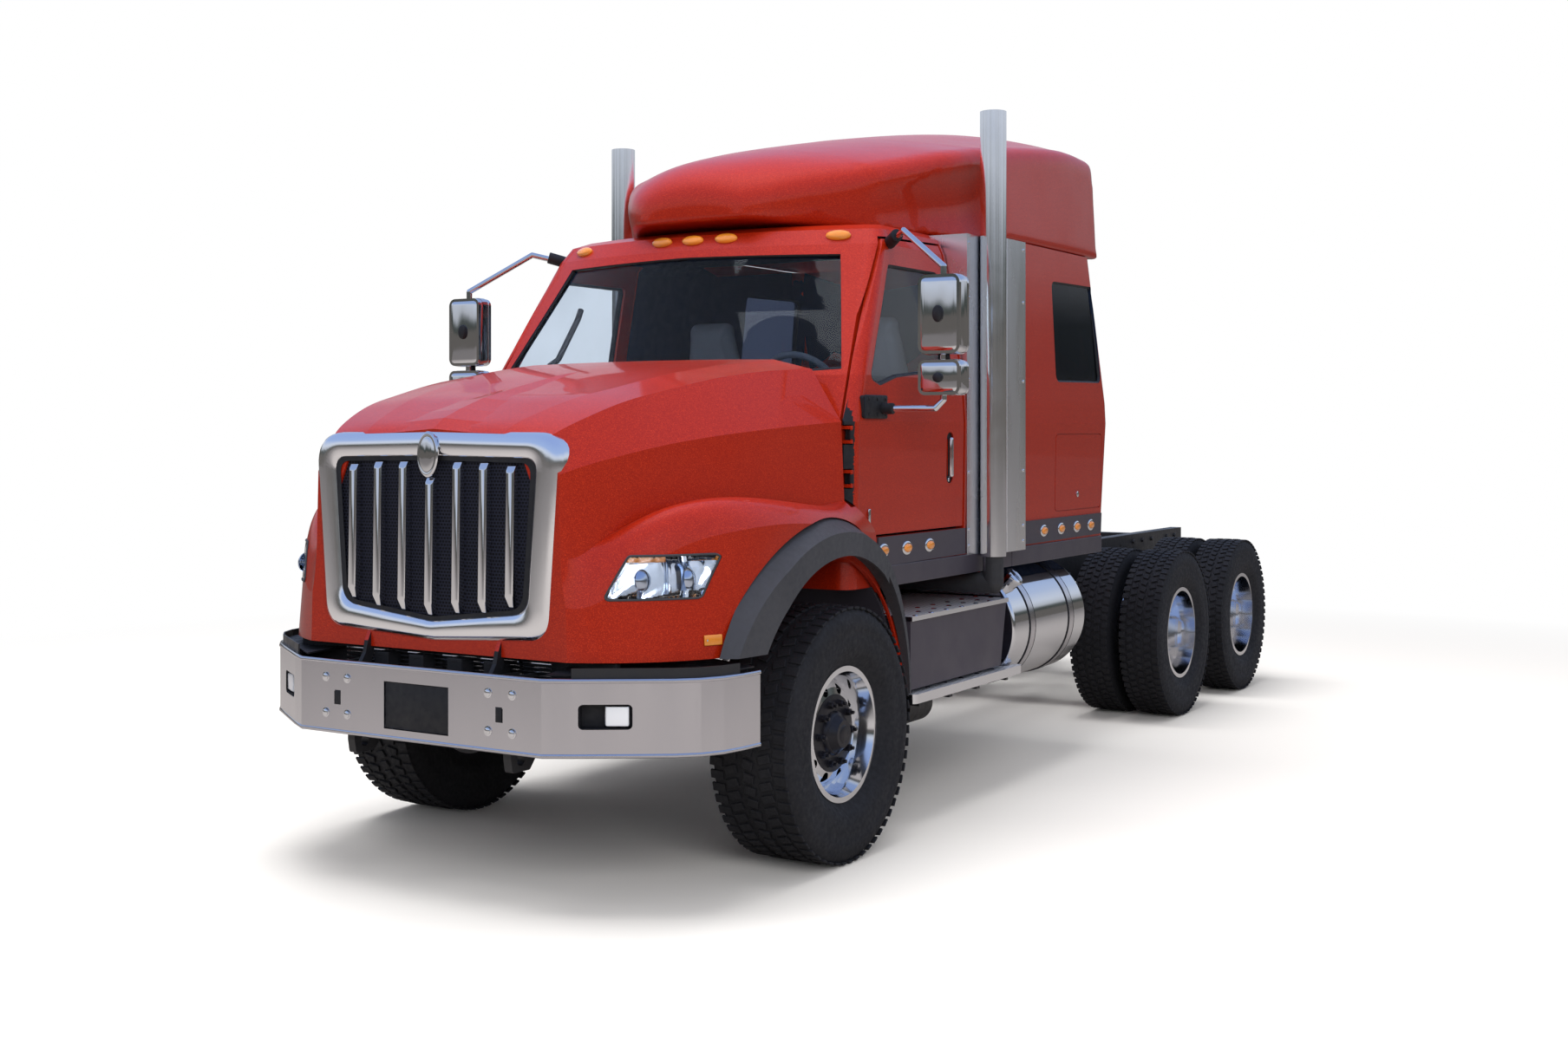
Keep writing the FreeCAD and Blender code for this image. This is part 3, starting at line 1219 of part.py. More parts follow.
def drive_wheels():
    """Four twin wheels: two tyres, two deep rims joined at their discs, and a hub."""
    half = size.drive_tyre_width / 2 * 0.72
    rim = size.rim_radius
    spacing = size.dual_spacing
    flange = half + size.rim_fit
    hub = size.hub_bore
    outer_rim = [(-half, rim), (flange, rim), (flange, rim + 14), (half + 8, rim + 14), (half + 8, rim - 10),
                 (-half + 20, rim - 24), (-spacing / 2 + 18, rim - 60), (-spacing / 2 + 18, 120),
                 (-spacing / 2 + 60, 110), (-spacing / 2 + 130, 90), (-spacing / 2 + 150, 70),
                 (-spacing / 2 + 150, 0), (-spacing / 2 + 100, 0), (-spacing / 2 + 100, hub),
                 (-spacing / 2, hub), (-spacing / 2, rim - 50),
                 (-half, rim - 14)]
    inner_rim = [(-flange, rim), (half, rim), (half, rim - 14), (spacing / 2, rim - 50), (spacing / 2, hub),
                 (spacing / 2 - 22, hub), (spacing / 2 - 22, rim - 60), (half - 22, rim - 24),
                 (-half - 8, rim - 10), (-half - 8, rim + 14), (-flange, rim + 14)]
    outer = revolved_about_x(outer_rim)
    inner = revolved_about_x(inner_rim)
    inner.translate(Vector(-spacing, 0, 0))
    wheel = outer.fuse(inner).removeSplitter()
    tyres = tyre(size.drive_tyre_radius, size.drive_tyre_width)
    second = tyres.copy()
    second.translate(Vector(-spacing, 0, 0))
    pair = Part.makeCompound([tyres, second])
    up = "$drive_tyre_radius"
    for axle, along in (("front", "$tandem_front"), ("rear", "$tandem_front + $tandem_spread")):
        for name, side in (("left", 1), ("right", -1)):
            across = ("" if side > 0 else "-") + "$dual_outer_x"
            label = "drive_%s_%s" % (axle, name)
            feature("tyres_" + label, pair if side > 0 else mirrored(pair), along, across, up)
            feature("wheels_" + label, wheel if side > 0 else mirrored(wheel), along, across, up)


drive_wheels()


def drive_axles():
    """Two banjo axles with brake drums and wheel ends."""
    pieces = []
    z = size.drive_tyre_radius
    inner_face = size.dual_outer_x - size.dual_spacing / 2 - 22 - size.running_gap
    for along in (size.tandem_front, size.tandem_front + size.tandem_spread):
        tube = rod((-inner_face, along, z), (inner_face, along, z), size.axle_tube_radius)
        bowl = Part.makeSphere(205, Vector(0, along, z))
        bowl = bowl.common(block(-230, 230, along - 150, along + 190, z - 230, z + 230))
        axle = tube.fuse(bowl)
        for side in (1, -1):
            drum = rod((side * (inner_face - 200), along, z), (side * inner_face, along, z),
                       size.brake_radius)
            spindle = rod((side * (inner_face - 1), along, z), (side * (inner_face + 110), along, z),
                          size.hub_bore - size.hub_fit)
            axle = axle.fuse(drum).fuse(spindle)
        pieces.append(axle.removeSplitter())
    return feature("drive_axles", Part.makeCompound(pieces))


def drive_suspension():
    """Walking beams under the rails, one each side, that carry both drive axles."""
    z = size.drive_tyre_radius
    first = size.tandem_front
    last = first + size.tandem_spread
    centre = (first + last) / 2
    x0 = size.rail_outer - 95
    low = size.rail_top - size.rail_depth
    beam = slab_x([(first - 90, z - 150), (first + 90, z - 150), (centre, z - 190), (last - 90, z - 150),
                   (last + 90, z - 150), (last + 90, z - 62.3), (last - 90, z - 62.3), (centre, z - 90),
                   (first + 90, z - 62.3), (first - 90, z - 62.3)], x0, x0 + 90)
    saddle = slab_x([(centre - 90, z - 150), (centre + 90, z - 150), (centre + 160, low - 0.2),
                     (centre - 160, low - 0.2)], x0, x0 + 90)
    piece = beam.fuse(saddle).removeSplitter()
    return both_sides(piece)


drive_axles()
feature("suspension", Part.makeCompound(front_springs() + drive_suspension()))

doc.recompute()
for item in doc.Objects:
    if "Invalid" in item.State or "Error" in item.State:
        raise RuntimeError("%s did not compute: %s" % (item.Label, item.State))
for node in NODES:
    shape = node.Shape
    if shape.isNull() or not shape.isValid() or not shape.Solids:
        raise RuntimeError("%s has no sound solid" % node.Label)
    print("%-26s solids %2d  volume %.4f m3" % (node.Label, len(shape.Solids), shape.Volume / 1e9))
    shape.exportStep("parts/%s.step" % node.Label)
print("nodes", len(NODES))
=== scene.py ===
import json
import math
from contextlib import contextmanager

import bpy
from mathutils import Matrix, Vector
from mathutils.bvhtree import BVHTree

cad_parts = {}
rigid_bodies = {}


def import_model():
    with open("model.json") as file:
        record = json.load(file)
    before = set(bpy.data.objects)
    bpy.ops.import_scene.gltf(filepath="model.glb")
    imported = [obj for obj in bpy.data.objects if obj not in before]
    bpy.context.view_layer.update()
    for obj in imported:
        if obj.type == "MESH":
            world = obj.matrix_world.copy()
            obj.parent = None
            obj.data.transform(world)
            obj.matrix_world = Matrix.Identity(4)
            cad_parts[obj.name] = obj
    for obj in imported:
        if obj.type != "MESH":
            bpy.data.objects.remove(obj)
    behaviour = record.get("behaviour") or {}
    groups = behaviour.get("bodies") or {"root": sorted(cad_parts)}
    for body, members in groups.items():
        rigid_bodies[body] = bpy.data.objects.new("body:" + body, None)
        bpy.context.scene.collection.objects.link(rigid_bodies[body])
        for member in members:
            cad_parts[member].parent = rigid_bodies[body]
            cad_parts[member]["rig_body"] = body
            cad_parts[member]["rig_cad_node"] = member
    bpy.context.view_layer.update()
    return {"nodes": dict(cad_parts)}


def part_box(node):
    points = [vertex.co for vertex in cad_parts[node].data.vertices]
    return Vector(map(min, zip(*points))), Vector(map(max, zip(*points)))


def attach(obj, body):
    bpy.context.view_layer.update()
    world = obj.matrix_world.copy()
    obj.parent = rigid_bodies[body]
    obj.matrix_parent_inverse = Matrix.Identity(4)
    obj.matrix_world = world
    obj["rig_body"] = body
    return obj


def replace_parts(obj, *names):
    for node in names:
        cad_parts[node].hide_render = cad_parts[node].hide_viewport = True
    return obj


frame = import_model()
nodes = frame["nodes"]
scene = bpy.context.scene

# Studio: a pale floor, a soft sky and two large soft lamps.
# The camera stands where the photograph's did, at a person's eye height beside the nose.

front_wheel_low, front_wheel_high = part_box("wheel_front_left")
AXLE_Y = (front_wheel_low.y + front_wheel_high.y) / 2


def at(x, y, z):
    """A place given by its distance behind the front axle."""
    return Vector((x, AXLE_Y + y, z))


def added(tree, kind, inputs=None, **settings):
    """A new shader node with its settings and the values of its inputs."""
    node = tree.nodes.new("ShaderNode" + kind)
    for key, value in settings.items():
        setattr(node, key, value)
    for key, value in (inputs or {}).items():
        node.inputs[key].default_value = value
    return node


def linked(tree, *wires):
    """Joins nodes; each wire is (node, output, node, input)."""
    for source, output, target, entry in wires:
        tree.links.new(source.outputs[output], target.inputs[entry])


def material(name, inputs):
    """A new material, its tree, and its shader with some inputs set."""
    made = bpy.data.materials.new(name)
    made.use_nodes = True
    shader = made.node_tree.nodes["Principled BSDF"]
    for key, value in inputs.items():
        shader.inputs[key].default_value = value
    return made, made.node_tree, shader


bpy.ops.object.camera_add(location=at(4.9342, -6.6331, 1.89),
                          rotation=(math.radians(90), 0, math.radians(31.3219)))
camera = bpy.context.object
camera.data.sensor_width = 36
camera.data.lens = 39.96
camera.data.shift_y = -0.0563
scene.camera = camera

bpy.ops.mesh.primitive_plane_add(size=120, location=(0, 0, -0.001))
floor = bpy.context.object
floor.name = "studio_floor"
FLOOR_FADE = {"From Min": 5.5, "From Max": 9.5}
FLOOR_COLOURS = {"A": (0.42, 0.39, 0.37, 1), "B": (0.97, 0.94, 0.90, 1)}
floor_paint, floor_tree, floor_shader = material("floor_paint", {"Roughness": 0.95, "Specular IOR Level": 0.0})
floor_place = added(floor_tree, "TexCoord")
floor_reach = added(floor_tree, "VectorMath", operation="LENGTH")
floor_fade = added(floor_tree, "MapRange", FLOOR_FADE)
floor_white = added(floor_tree, "Emission", {"Color": (1, 1, 1, 1)})
floor_seen = added(floor_tree, "MixShader")
floor_tint = added(floor_tree, "Mix", FLOOR_COLOURS, data_type="RGBA")
floor_path = added(floor_tree, "LightPath")
floor_plain = added(floor_tree, "Math", operation="MAXIMUM")
floor_gain = added(floor_tree, "Math", operation="MULTIPLY")
linked(floor_tree, (floor_path, "Is Camera Ray", floor_plain, 0),
       (floor_path, "Is Transmission Ray", floor_plain, 1),
       (floor_place, "Object", floor_reach, 0), (floor_reach, "Value", floor_fade, "Value"),
       (floor_fade, "Result", floor_gain, 0), (floor_plain, 0, floor_gain, 1),
       (floor_gain, 0, floor_seen, "Fac"),
       (floor_plain, 0, floor_tint, "Factor"), (floor_tint, "Result", floor_shader, "Base Color"),
       (floor_shader, 0, floor_seen, 1), (floor_white, 0, floor_seen, 2),
       (floor_seen, 0, floor_tree.nodes["Material Output"], "Surface"))
floor.data.materials.append(floor_paint)

world = bpy.data.worlds.new("studio_sky")
scene.world = world
world.use_nodes = True
sky = world.node_tree
sky.nodes.clear()
SKY_STOPS = ((0.0, (0.16, 0.15, 0.14)), (0.010, (0.07, 0.08, 0.075)), (0.040, (0.09, 0.105, 0.10)),
             (0.075, (0.60, 0.64, 0.70)), (0.15, (0.78, 0.86, 1.0)), (0.34, (0.42, 0.58, 0.95)),
             (1.0, (0.34, 0.48, 0.90)))
SKY_STRENGTH = 0.80
sky_out = added(sky, "OutputWorld")
sky_mix = added(sky, "MixShader")
sky_light = added(sky, "Background", {"Strength": SKY_STRENGTH})
sky_seen = added(sky, "Background", {"Color": (1, 1, 1, 1)})
sky_path = added(sky, "LightPath")
sky_plain = added(sky, "Math", operation="MAXIMUM")
sky_place = added(sky, "TexCoord")
sky_split = added(sky, "SeparateXYZ")
sky_noise = added(sky, "TexNoise", {"Scale": 5.0, "Detail": 5})
sky_shift = added(sky, "Math", {1: -0.13}, operation="MULTIPLY_ADD")
sky_even = added(sky, "Mix", {"B": (0.66, 0.66, 0.68, 1)}, data_type="RGBA")
sky_ramp = added(sky, "ValToRGB")
sky_ramp.color_ramp.elements[0].color = (*SKY_STOPS[0][1], 1)
sky_ramp.color_ramp.elements[1].color = (*SKY_STOPS[-1][1], 1)
for position, colour in SKY_STOPS[1:-1]:
    sky_ramp.color_ramp.elements.new(position).color = (*colour, 1)
linked(sky, (sky_place, "Generated", sky_split, 0), (sky_place, "Generated", sky_noise, "Vector"),
       (sky_noise, "Fac", sky_shift, 0), (sky_split, "Z", sky_shift, 2), (sky_shift, 0, sky_ramp, "Fac"),
       (sky_path, "Is Diffuse Ray", sky_even, "Factor"), (sky_ramp, "Color", sky_even, "A"),
       (sky_even, "Result", sky_light, "Color"), (sky_path, "Is Camera Ray", sky_plain, 0),
       (sky_path, "Is Transmission Ray", sky_plain, 1), (sky_plain, 0, sky_mix, "Fac"),
       (sky_light, 0, sky_mix, 1), (sky_seen, 0, sky_mix, 2), (sky_mix, 0, sky_out, "Surface"))


def soft_lamp(name, place, aim, size, watts):
    """A square soft lamp turned towards a point, unseen in mirrors."""
    bpy.ops.object.light_add(type="AREA", location=place)
    lamp = bpy.context.object
    lamp.name = name
    lamp.data.shape = "SQUARE"
    lamp.data.size = size
    lamp.data.energy = watts
    lamp.rotation_euler = (Vector(aim) - Vector(place)).to_track_quat("-Z", "Y").to_euler()
    lamp.visible_glossy = False


soft_lamp("key_lamp", at(-1.5, 0.5, 12.0), at(0, 1, 1.2), 9.0, 1500)
soft_lamp("fill_lamp", at(9.0, -9.0, 6.5), at(0, 1, 1.4), 7.0, 750)
scene.view_settings.view_transform = "Standard"


# Finishes for the metal and plastic that the solids already give in full.
# Each has a fine grain or cloud from Object coordinates, so that no surface is one flat value.

cloud = bpy.data.node_groups.new("cloud", "ShaderNodeTree")
for entry, kind in (("Scale", "Float"), ("Stretch", "Vector"), ("Low", "Float"), ("High", "Float")):
    cloud.interface.new_socket(entry, in_out="INPUT", socket_type="NodeSocket" + kind)
cloud.interface.new_socket("Value", in_out="OUTPUT", socket_type="NodeSocketFloat")
cloud_in = cloud.nodes.new("NodeGroupInput")
cloud_out = cloud.nodes.new("NodeGroupOutput")
cloud_place = added(cloud, "TexCoord")
cloud_stretch = added(cloud, "VectorMath", operation="MULTIPLY")
cloud_noise = added(cloud, "TexNoise", {"Detail": 4})
cloud_range = added(cloud, "MapRange", {"From Min": 0.3, "From Max": 0.7})
linked(cloud, (cloud_place, "Object", cloud_stretch, 0), (cloud_in, "Stretch", cloud_stretch, 1),
       (cloud_stretch, 0, cloud_noise, "Vector"), (cloud_in, "Scale", cloud_noise, "Scale"),
       (cloud_noise, "Fac", cloud_range, "Value"), (cloud_in, "Low", cloud_range, "To Min"),
       (cloud_in, "High", cloud_range, "To Max"), (cloud_range, "Result", cloud_out, "Value"))


def clouded(tree, scale, low, high, stretch=(1, 1, 1)):
    """A node whose Value drifts between two limits over the surface."""
    return added(tree, "Group", {"Scale": scale, "Stretch": stretch, "Low": low, "High": high}, node_tree=cloud)


def finish(name, colour, metallic, rough, grain=60, bump=0.0, bump_scale=400, stretch=(1, 1, 1),
           shade=0.12, coat=0.0, specular=0.5):
    """A plain finish: colour and roughness that drift a little, and a fine grain in relief."""
    made, tree, shader = material(name, {"Metallic": metallic, "Specular IOR Level": specular,
                                         "Coat Weight": coat, "Coat Roughness": 0.05})
    dark = [channel * (1 - shade) for channel in colour]
    tint = added(tree, "Mix", {"A": (*dark, 1), "B": (*colour, 1)}, data_type="RGBA")
    linked(tree, (clouded(tree, grain / 12, 0, 1, stretch), "Value", tint, "Factor"),
           (tint, "Result", shader, "Base Color"),
           (clouded(tree, grain, rough * 0.8, rough * 1.2, stretch), "Value", shader, "Roughness"))
    if bump:
        relief = added(tree, "Bump", {"Distance": bump, "Strength": 0.6})
        linked(tree, (clouded(tree, bump_scale, 0, 1, stretch), "Value", relief, "Height"),
               (relief, "Normal", shader, "Normal"))
    return made


def dress(node_names, made):
    """Gives solids of the frame their finish."""
    for name in node_names:
        mesh = nodes[name].data
        mesh.materials.clear()
        mesh.materials.append(made)


LONG_GRAIN = (1, 1, 0.15)
chrome = finish("chrome_plate", (0.80, 0.80, 0.82), 1.0, 0.07, grain=8, shade=0.05)
bright_chrome = finish("bright_chrome", (0.96, 0.96, 0.98), 1.0, 0.14, grain=6, shade=0.04)
stainless = finish("brushed_stainless", (0.64, 0.63, 0.66), 1.0, 0.17, grain=9, stretch=LONG_GRAIN, shade=0.06)
shield_steel = finish("shield_steel", (0.93, 0.93, 0.94), 1.0, 0.26, grain=6, stretch=LONG_GRAIN, shade=0.06)
aluminium = finish("polished_aluminium", (0.80, 0.81, 0.84), 1.0, 0.09, grain=5, shade=0.06)
frame_black = finish("frame_black", (0.018, 0.018, 0.020), 0.0, 0.42, grain=24, bump=0.0004, bump_scale=90)
cast_dark = finish("cast_dark", (0.035, 0.035, 0.038), 0.2, 0.55, grain=30, bump=0.001, bump_scale=160)
panel_dark = finish("panel_dark", (0.075, 0.066, 0.085), 0.3, 0.38, grain=6, shade=0.25)
grained_black = finish("grained_black", (0.052, 0.053, 0.060), 0.0, 0.55, grain=40, bump=0.0006,
                       bump_scale=700, shade=0.2)
dash_blue = finish("dash_blue_grey", (0.055, 0.070, 0.105), 0.0, 0.7, grain=30, shade=0.2)
amber_lens = finish("amber_lens", (0.95, 0.32, 0.03), 0.0, 0.18, grain=60, shade=0.35, coat=1.0)
dress(["bumper", "tank_straps"], stainless)
dress(["heat_shields"], shield_steel)
dress(["mirror_left", "mirror_right", "grille_bars"], chrome)
dress(["exhaust_stacks", "grille_surround"], bright_chrome)
dress(["fuel_tanks"] + [name for name in nodes if name.startswith("wheel")], aluminium)
dress(["frame", "bumper_mounts", "step_brackets"], frame_black)
dress(["engine", "radiator", "front_axle", "drive_axles", "suspension", "knuckle_left",
       "knuckle_right"], cast_dark)
dress(["step_boxes", "sill_trim"], panel_dark)
dress(["fender_flares"], grained_black)
dress(["dash", "seats"], dash_blue)
dress(["marker_lamps"], amber_lens)


# Painted body: red metallic paint under clear coat.
# The flake is a fine cell pattern that lightens single grains: grain of the flakes, with their glints painted
# in.

red_paint, paint_tree, paint_shader = material("red_flake_paint", {
    "Metallic": 0.1, "Specular IOR Level": 0.25, "Coat Weight": 0.4, "Coat Roughness": 0.03})
DEEP_RED = (0.34, 0.013, 0.002, 1)
# The lighter red of single grains is a painted glint of the flakes.
FLAKE_GLINT_RED = (0.56, 0.034, 0.006, 1)
paint_place = added(paint_tree, "TexCoord")
flake_glint_cells = added(paint_tree, "TexVoronoi", {"Scale": 420})
paint_split = added(paint_tree, "SeparateColor")
flake_glint_ramp = added(paint_tree, "MapRange", {"From Min": 0.55})
paint_tint = added(paint_tree, "Mix", {"A": DEEP_RED, "B": FLAKE_GLINT_RED}, data_type="RGBA")
linked(paint_tree, (paint_place, "Object", flake_glint_cells, "Vector"), (flake_glint_cells, "Color", paint_split, "Color"),
       (paint_split, "Red", flake_glint_ramp, "Value"), (flake_glint_ramp, "Result", paint_tint, "Factor"),
       (paint_tint, "Result", paint_shader, "Base Color"),
       (clouded(paint_tree, 3, 0.34, 0.42), "Value", paint_shader, "Roughness"))
dress(["hood", "cab", "door_left", "door_right", "sleeper", "roof_fairing"], red_paint)


# Windows and lamps: blue tinted glass panes.
# The panes are the solids' own, thin sheets set into the openings.

def pane(name, colour, rough=0.0, bend=1.45):
    """Glass of a colour that drifts a little, with its roughness and its index of refraction."""
    made, tree, shader = material(name, {"Transmission Weight": 1.0, "IOR": bend, "Roughness": rough})
    deep = [channel * 0.9 for channel in colour]
    tint = added(tree, "Mix", {"A": (*colour, 1), "B": (*deep, 1)}, data_type="RGBA")
    linked(tree, (clouded(tree, 2, 0, 1), "Value", tint, "Factor"), (tint, "Result", shader, "Base Color"))
    return made


tinted = pane("tinted_pane", (0.80, 0.86, 0.93), bend=1.2)
clear = pane("clear_lens", (0.90, 0.92, 0.95), 0.02)
dress(["glazing", "door_glass_left", "door_glass_right"], tinted)
dress(["headlamps"], clear)


# Tyres: rubber carcass with a shallower tread base, and the blocks of the tread on it.
# Each replaces its plain ring and rolls with its wheel.

COARSE_GAP = 0.0002
FINE_GAP = 0.00005


def only(piece):
    """Makes one piece the whole selection."""
    bpy.ops.object.select_all(action="DESELECT")
    piece.select_set(True)
    bpy.context.view_layer.objects.active = piece


@contextmanager
def editing(piece):
    """Edit mode with the whole piece selected at its start."""
    only(piece)
    bpy.ops.object.mode_set(mode="EDIT")
    bpy.ops.mesh.select_all(action="SELECT")
    yield
    bpy.ops.object.mode_set(mode="OBJECT")


def applied(piece, kind, **settings):
    """Adds a modifier with its settings and applies it."""
    only(piece)
    modifier = piece.modifiers.new("form", kind)
    for key, value in settings.items():
        setattr(modifier, key, value)
    bpy.ops.object.modifier_apply(modifier=modifier.name)
    return piece


def smoothed(piece, degrees=35):
    """Shades a piece smooth, with edges kept where it turns by more than an angle."""
    only(piece)
    bpy.ops.object.shade_smooth_by_angle(angle=math.radians(degrees))
    return piece


def settle(piece, body, made):
    """Leaves a finished piece at the origin, in its finish and on its body."""
    only(piece)
    bpy.ops.object.transform_apply(location=True, rotation=True, scale=True)
    piece.data.materials.clear()
    piece.data.materials.append(made)
    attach(piece, body)
    return piece


def spun(name, points, centre, axis, steps, gap):
    """A closed row of points turned about a line; points nearer than the gap are merged."""
    bpy.ops.object.select_all(action="DESELECT")
    bpy.ops.mesh.primitive_circle_add(vertices=len(points), location=(0, 0, 0))
    piece = bpy.context.object
    piece.name = name
    for vertex, point in zip(piece.data.vertices, points):
        vertex.co = point
    with editing(piece):
        bpy.ops.mesh.spin(steps=steps, angle=math.tau, center=centre, axis=axis)
        bpy.ops.mesh.select_all(action="SELECT")
        bpy.ops.mesh.remove_doubles(threshold=gap)
        bpy.ops.mesh.delete_loose()
        bpy.ops.mesh.select_all(action="SELECT")
        bpy.ops.mesh.normals_make_consistent(inside=False)
    return piece


def block(name, low, high, soft=0.0, segments=2):
    """A box between two corners with softened edges."""
    bpy.ops.object.select_all(action="DESELECT")
    centre = [(a + b) / 2 for a, b in zip(low, high)]
    bpy.ops.mesh.primitive_cube_add(size=1, location=centre)
    piece = bpy.context.object
    piece.name = name
    piece.scale = [b - a for a, b in zip(low, high)]
    bpy.ops.object.transform_apply(location=True, rotation=True, scale=True)
    if soft:
        softened(piece, soft, segments)
    return piece


def softened(piece, width, segments=2):
    """Rounds a piece's sharp edges."""
    return applied(piece, "BEVEL", width=width, segments=segments, limit_method="ANGLE",
                   angle_limit=math.radians(40))


def joined(name, pieces):
    """Several meshes made one."""
    if len(pieces) == 1:
        pieces[0].name = name
        return pieces[0]
    bpy.ops.object.select_all(action="DESELECT")
    for piece in pieces:
        piece.select_set(True)
    bpy.context.view_layer.objects.active = pieces[0]
    bpy.ops.object.join()
    pieces[0].name = name
    return pieces[0]


def copied(piece, name, shift=(0, 0, 0), flip=False):
    """A copy with its own mesh, moved, or mirrored to the truck's other side."""
    only(piece)
    bpy.ops.object.duplicate()
    other = bpy.context.object
    other.name = name
    with editing(other):
        if flip:
            bpy.ops.transform.mirror(orient_type="GLOBAL", constraint_axis=(True, False, False),
                                     center_override=(0, 0, 0))
            bpy.ops.mesh.flip_normals()
        bpy.ops.transform.translate(value=shift)
    return other


rubber = finish("tyre_rubber", (0.017, 0.017, 0.020), 0.0, 0.72, grain=50, bump=0.0006, bump_scale=500,
                shade=0.35, specular=0.35)


def tread_row(name, pitch, across, length, tilt, centre, radius, depth, turn):
    """One block of a tread row and its copies round the wheel, turned about the axle to stagger the blocks."""
    low = (across[0], -length / 2, radius - depth)
    high = (across[1], length / 2, radius)
    piece = block(name, low, high, 0.002, 1)
    with editing(piece):
        bpy.ops.transform.rotate(value=math.radians(tilt), orient_axis="Z", orient_type="GLOBAL",
                                 center_override=((across[0] + across[1]) / 2, 0, radius))
        bpy.ops.transform.translate(value=centre)
        bpy.ops.mesh.spin(steps=pitch, dupli=True, angle=math.tau, center=centre, axis=(1, 0, 0))
        bpy.ops.mesh.select_all(action="SELECT")
        bpy.ops.mesh.remove_doubles(threshold=COARSE_GAP)
        bpy.ops.transform.rotate(value=turn, orient_axis="X", orient_type="GLOBAL", center_override=centre)
    return piece


def tyre(name, centre, radius, width, bore, pitch):
    """A whole tyre: carcass with bead, sidewall ribs and shoulders, and five rows of blocks."""
    half = width / 2
    groove = 0.011
    wall = radius - bore
    side = [(half * 0.72, bore), (half * 0.74, bore + 0.016), (half * 0.93, bore + wall * 0.22),
            (half * 0.985, bore + wall * 0.36), (half * 0.995, bore + wall * 0.5),
            (half * 0.985, bore + wall * 0.63), (half * 0.995, bore + wall * 0.65),
            (half * 0.97, bore + wall * 0.78), (half * 0.93, radius - 0.035),
            (half * 0.86, radius - groove - 0.004), (half * 0.76, radius - groove)]
    profile = side + [(-x, rise) for x, rise in reversed(side)]
    points = [(centre.x + x, centre.y, centre.z + rise) for x, rise in profile]
    carcass = smoothed(spun(name, points, centre, (1, 0, 0), 96, COARSE_GAP))
    rows = []
    shoulder = width * 0.17
    inner = width * 0.125
    for index, (x0, x1, length, tilt) in enumerate((
            (half * 0.96 - shoulder, half * 0.93, 0.66, 4), (half * 0.52 - inner, half * 0.56, 0.62, -16),
            (-inner * 0.52, inner * 0.52, 0.66, 16), (-half * 0.56, inner - half * 0.52, 0.62, -16),
            (-half * 0.93, shoulder - half * 0.96, 0.66, 4))):
        edge = 0.004 if index in (0, 4) else 0.0008
        reach = math.tau * radius / pitch * length
        rows.append(tread_row(name + "_row", pitch, (x0, x1), reach, tilt, centre, radius - edge, groove,
                              math.pi / pitch * (index % 2)))
    return joined(name, [carcass] + rows)


RIM_SEAT = 0.2853
tyre_low, tyre_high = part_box("tyre_front_left")
steer_radius = (tyre_high.z - tyre_low.z) / 2
steer_centre = (tyre_low + tyre_high) / 2
steer_tyre = tyre("steer_tyre_left", steer_centre, steer_radius, tyre_high.x - tyre_low.x, RIM_SEAT, 60)
other_steer = copied(steer_tyre, "steer_tyre_right", flip=True)
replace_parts(settle(steer_tyre, "front_left_wheel", rubber), "tyre_front_left")
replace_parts(settle(other_steer, "front_right_wheel", rubber), "tyre_front_right")

twin_low, twin_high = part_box("tyres_drive_front_left")
drive_radius = (twin_high.z - twin_low.z) / 2
drive_width = 0.278
outer_centre = Vector((twin_high.x - drive_width / 2, (twin_low.y + twin_high.y) / 2,
                       twin_low.z + drive_radius))
outer_tyre = tyre("drive_tyre", outer_centre, drive_radius, drive_width, RIM_SEAT, 66)
inner_tyre = copied(outer_tyre, "drive_tyre_inner", (twin_low.x + drive_width - twin_high.x, 0, 0))
twin = joined("drive_tyres_front_left", [outer_tyre, inner_tyre])
tandem_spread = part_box("tyres_drive_rear_left")[0].y - twin_low.y
twins = {"front_left": twin, "rear_left": copied(twin, "drive_tyres_rear_left", (0, tandem_spread, 0)),
         "front_right": copied(twin, "drive_tyres_front_right", flip=True),
         "rear_right": copied(twin, "drive_tyres_rear_right", (0, tandem_spread, 0), flip=True)}
for corner, piece in twins.items():
    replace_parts(settle(piece, "drive_" + corner, rubber), "tyres_drive_" + corner)


# Window seals: black rubber beads round every pane.
# Each follows the sharp edges of its own pane.

def own_copy(node, name):
    """A loose, visible copy of a solid's mesh."""
    piece = nodes[node].copy()
    piece.data = nodes[node].data.copy()
    piece.name = name
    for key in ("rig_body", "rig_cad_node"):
        if key in piece:
            del piece[key]
    piece.parent = None
    scene.collection.objects.link(piece)
    piece.hide_render = False
    piece.hide_viewport = False
    piece.hide_set(False)
    return piece


def round_bar(piece, radius, resolution=2, caps=False):
    """A row of edges made a round bar."""
    only(piece)
    bpy.ops.object.convert(target="CURVE")
    curve = bpy.context.object.data
    curve.bevel_depth = radius
    curve.bevel_resolution = resolution
    curve.use_fill_caps = caps
    bpy.ops.object.convert(target="MESH")
    return bpy.context.object


def seal(name, node, body, thickness):
    """A rubber bead along the outline of a pane."""
    bead = own_copy(node, name)
    with editing(bead):
        bpy.ops.mesh.remove_doubles(threshold=0.0005)
        bpy.ops.mesh.select_mode(type="EDGE")
        bpy.ops.mesh.select_all(action="DESELECT")
        bpy.ops.mesh.edges_select_sharp(sharpness=math.radians(50))
        bpy.ops.mesh.select_all(action="INVERT")
        bpy.ops.mesh.delete(type="EDGE_FACE")
    return settle(round_bar(bead, thickness), body, seal_rubber)


seal_rubber = finish("seal_rubber", (0.014, 0.014, 0.016), 0.0, 0.5, grain=80, shade=0.2)
seal("window_seals", "glazing", "chassis", 0.011)
seal("door_seal_left", "door_glass_left", "left_door", 0.014)
seal("door_seal_right", "door_glass_right", "right_door", 0.014)


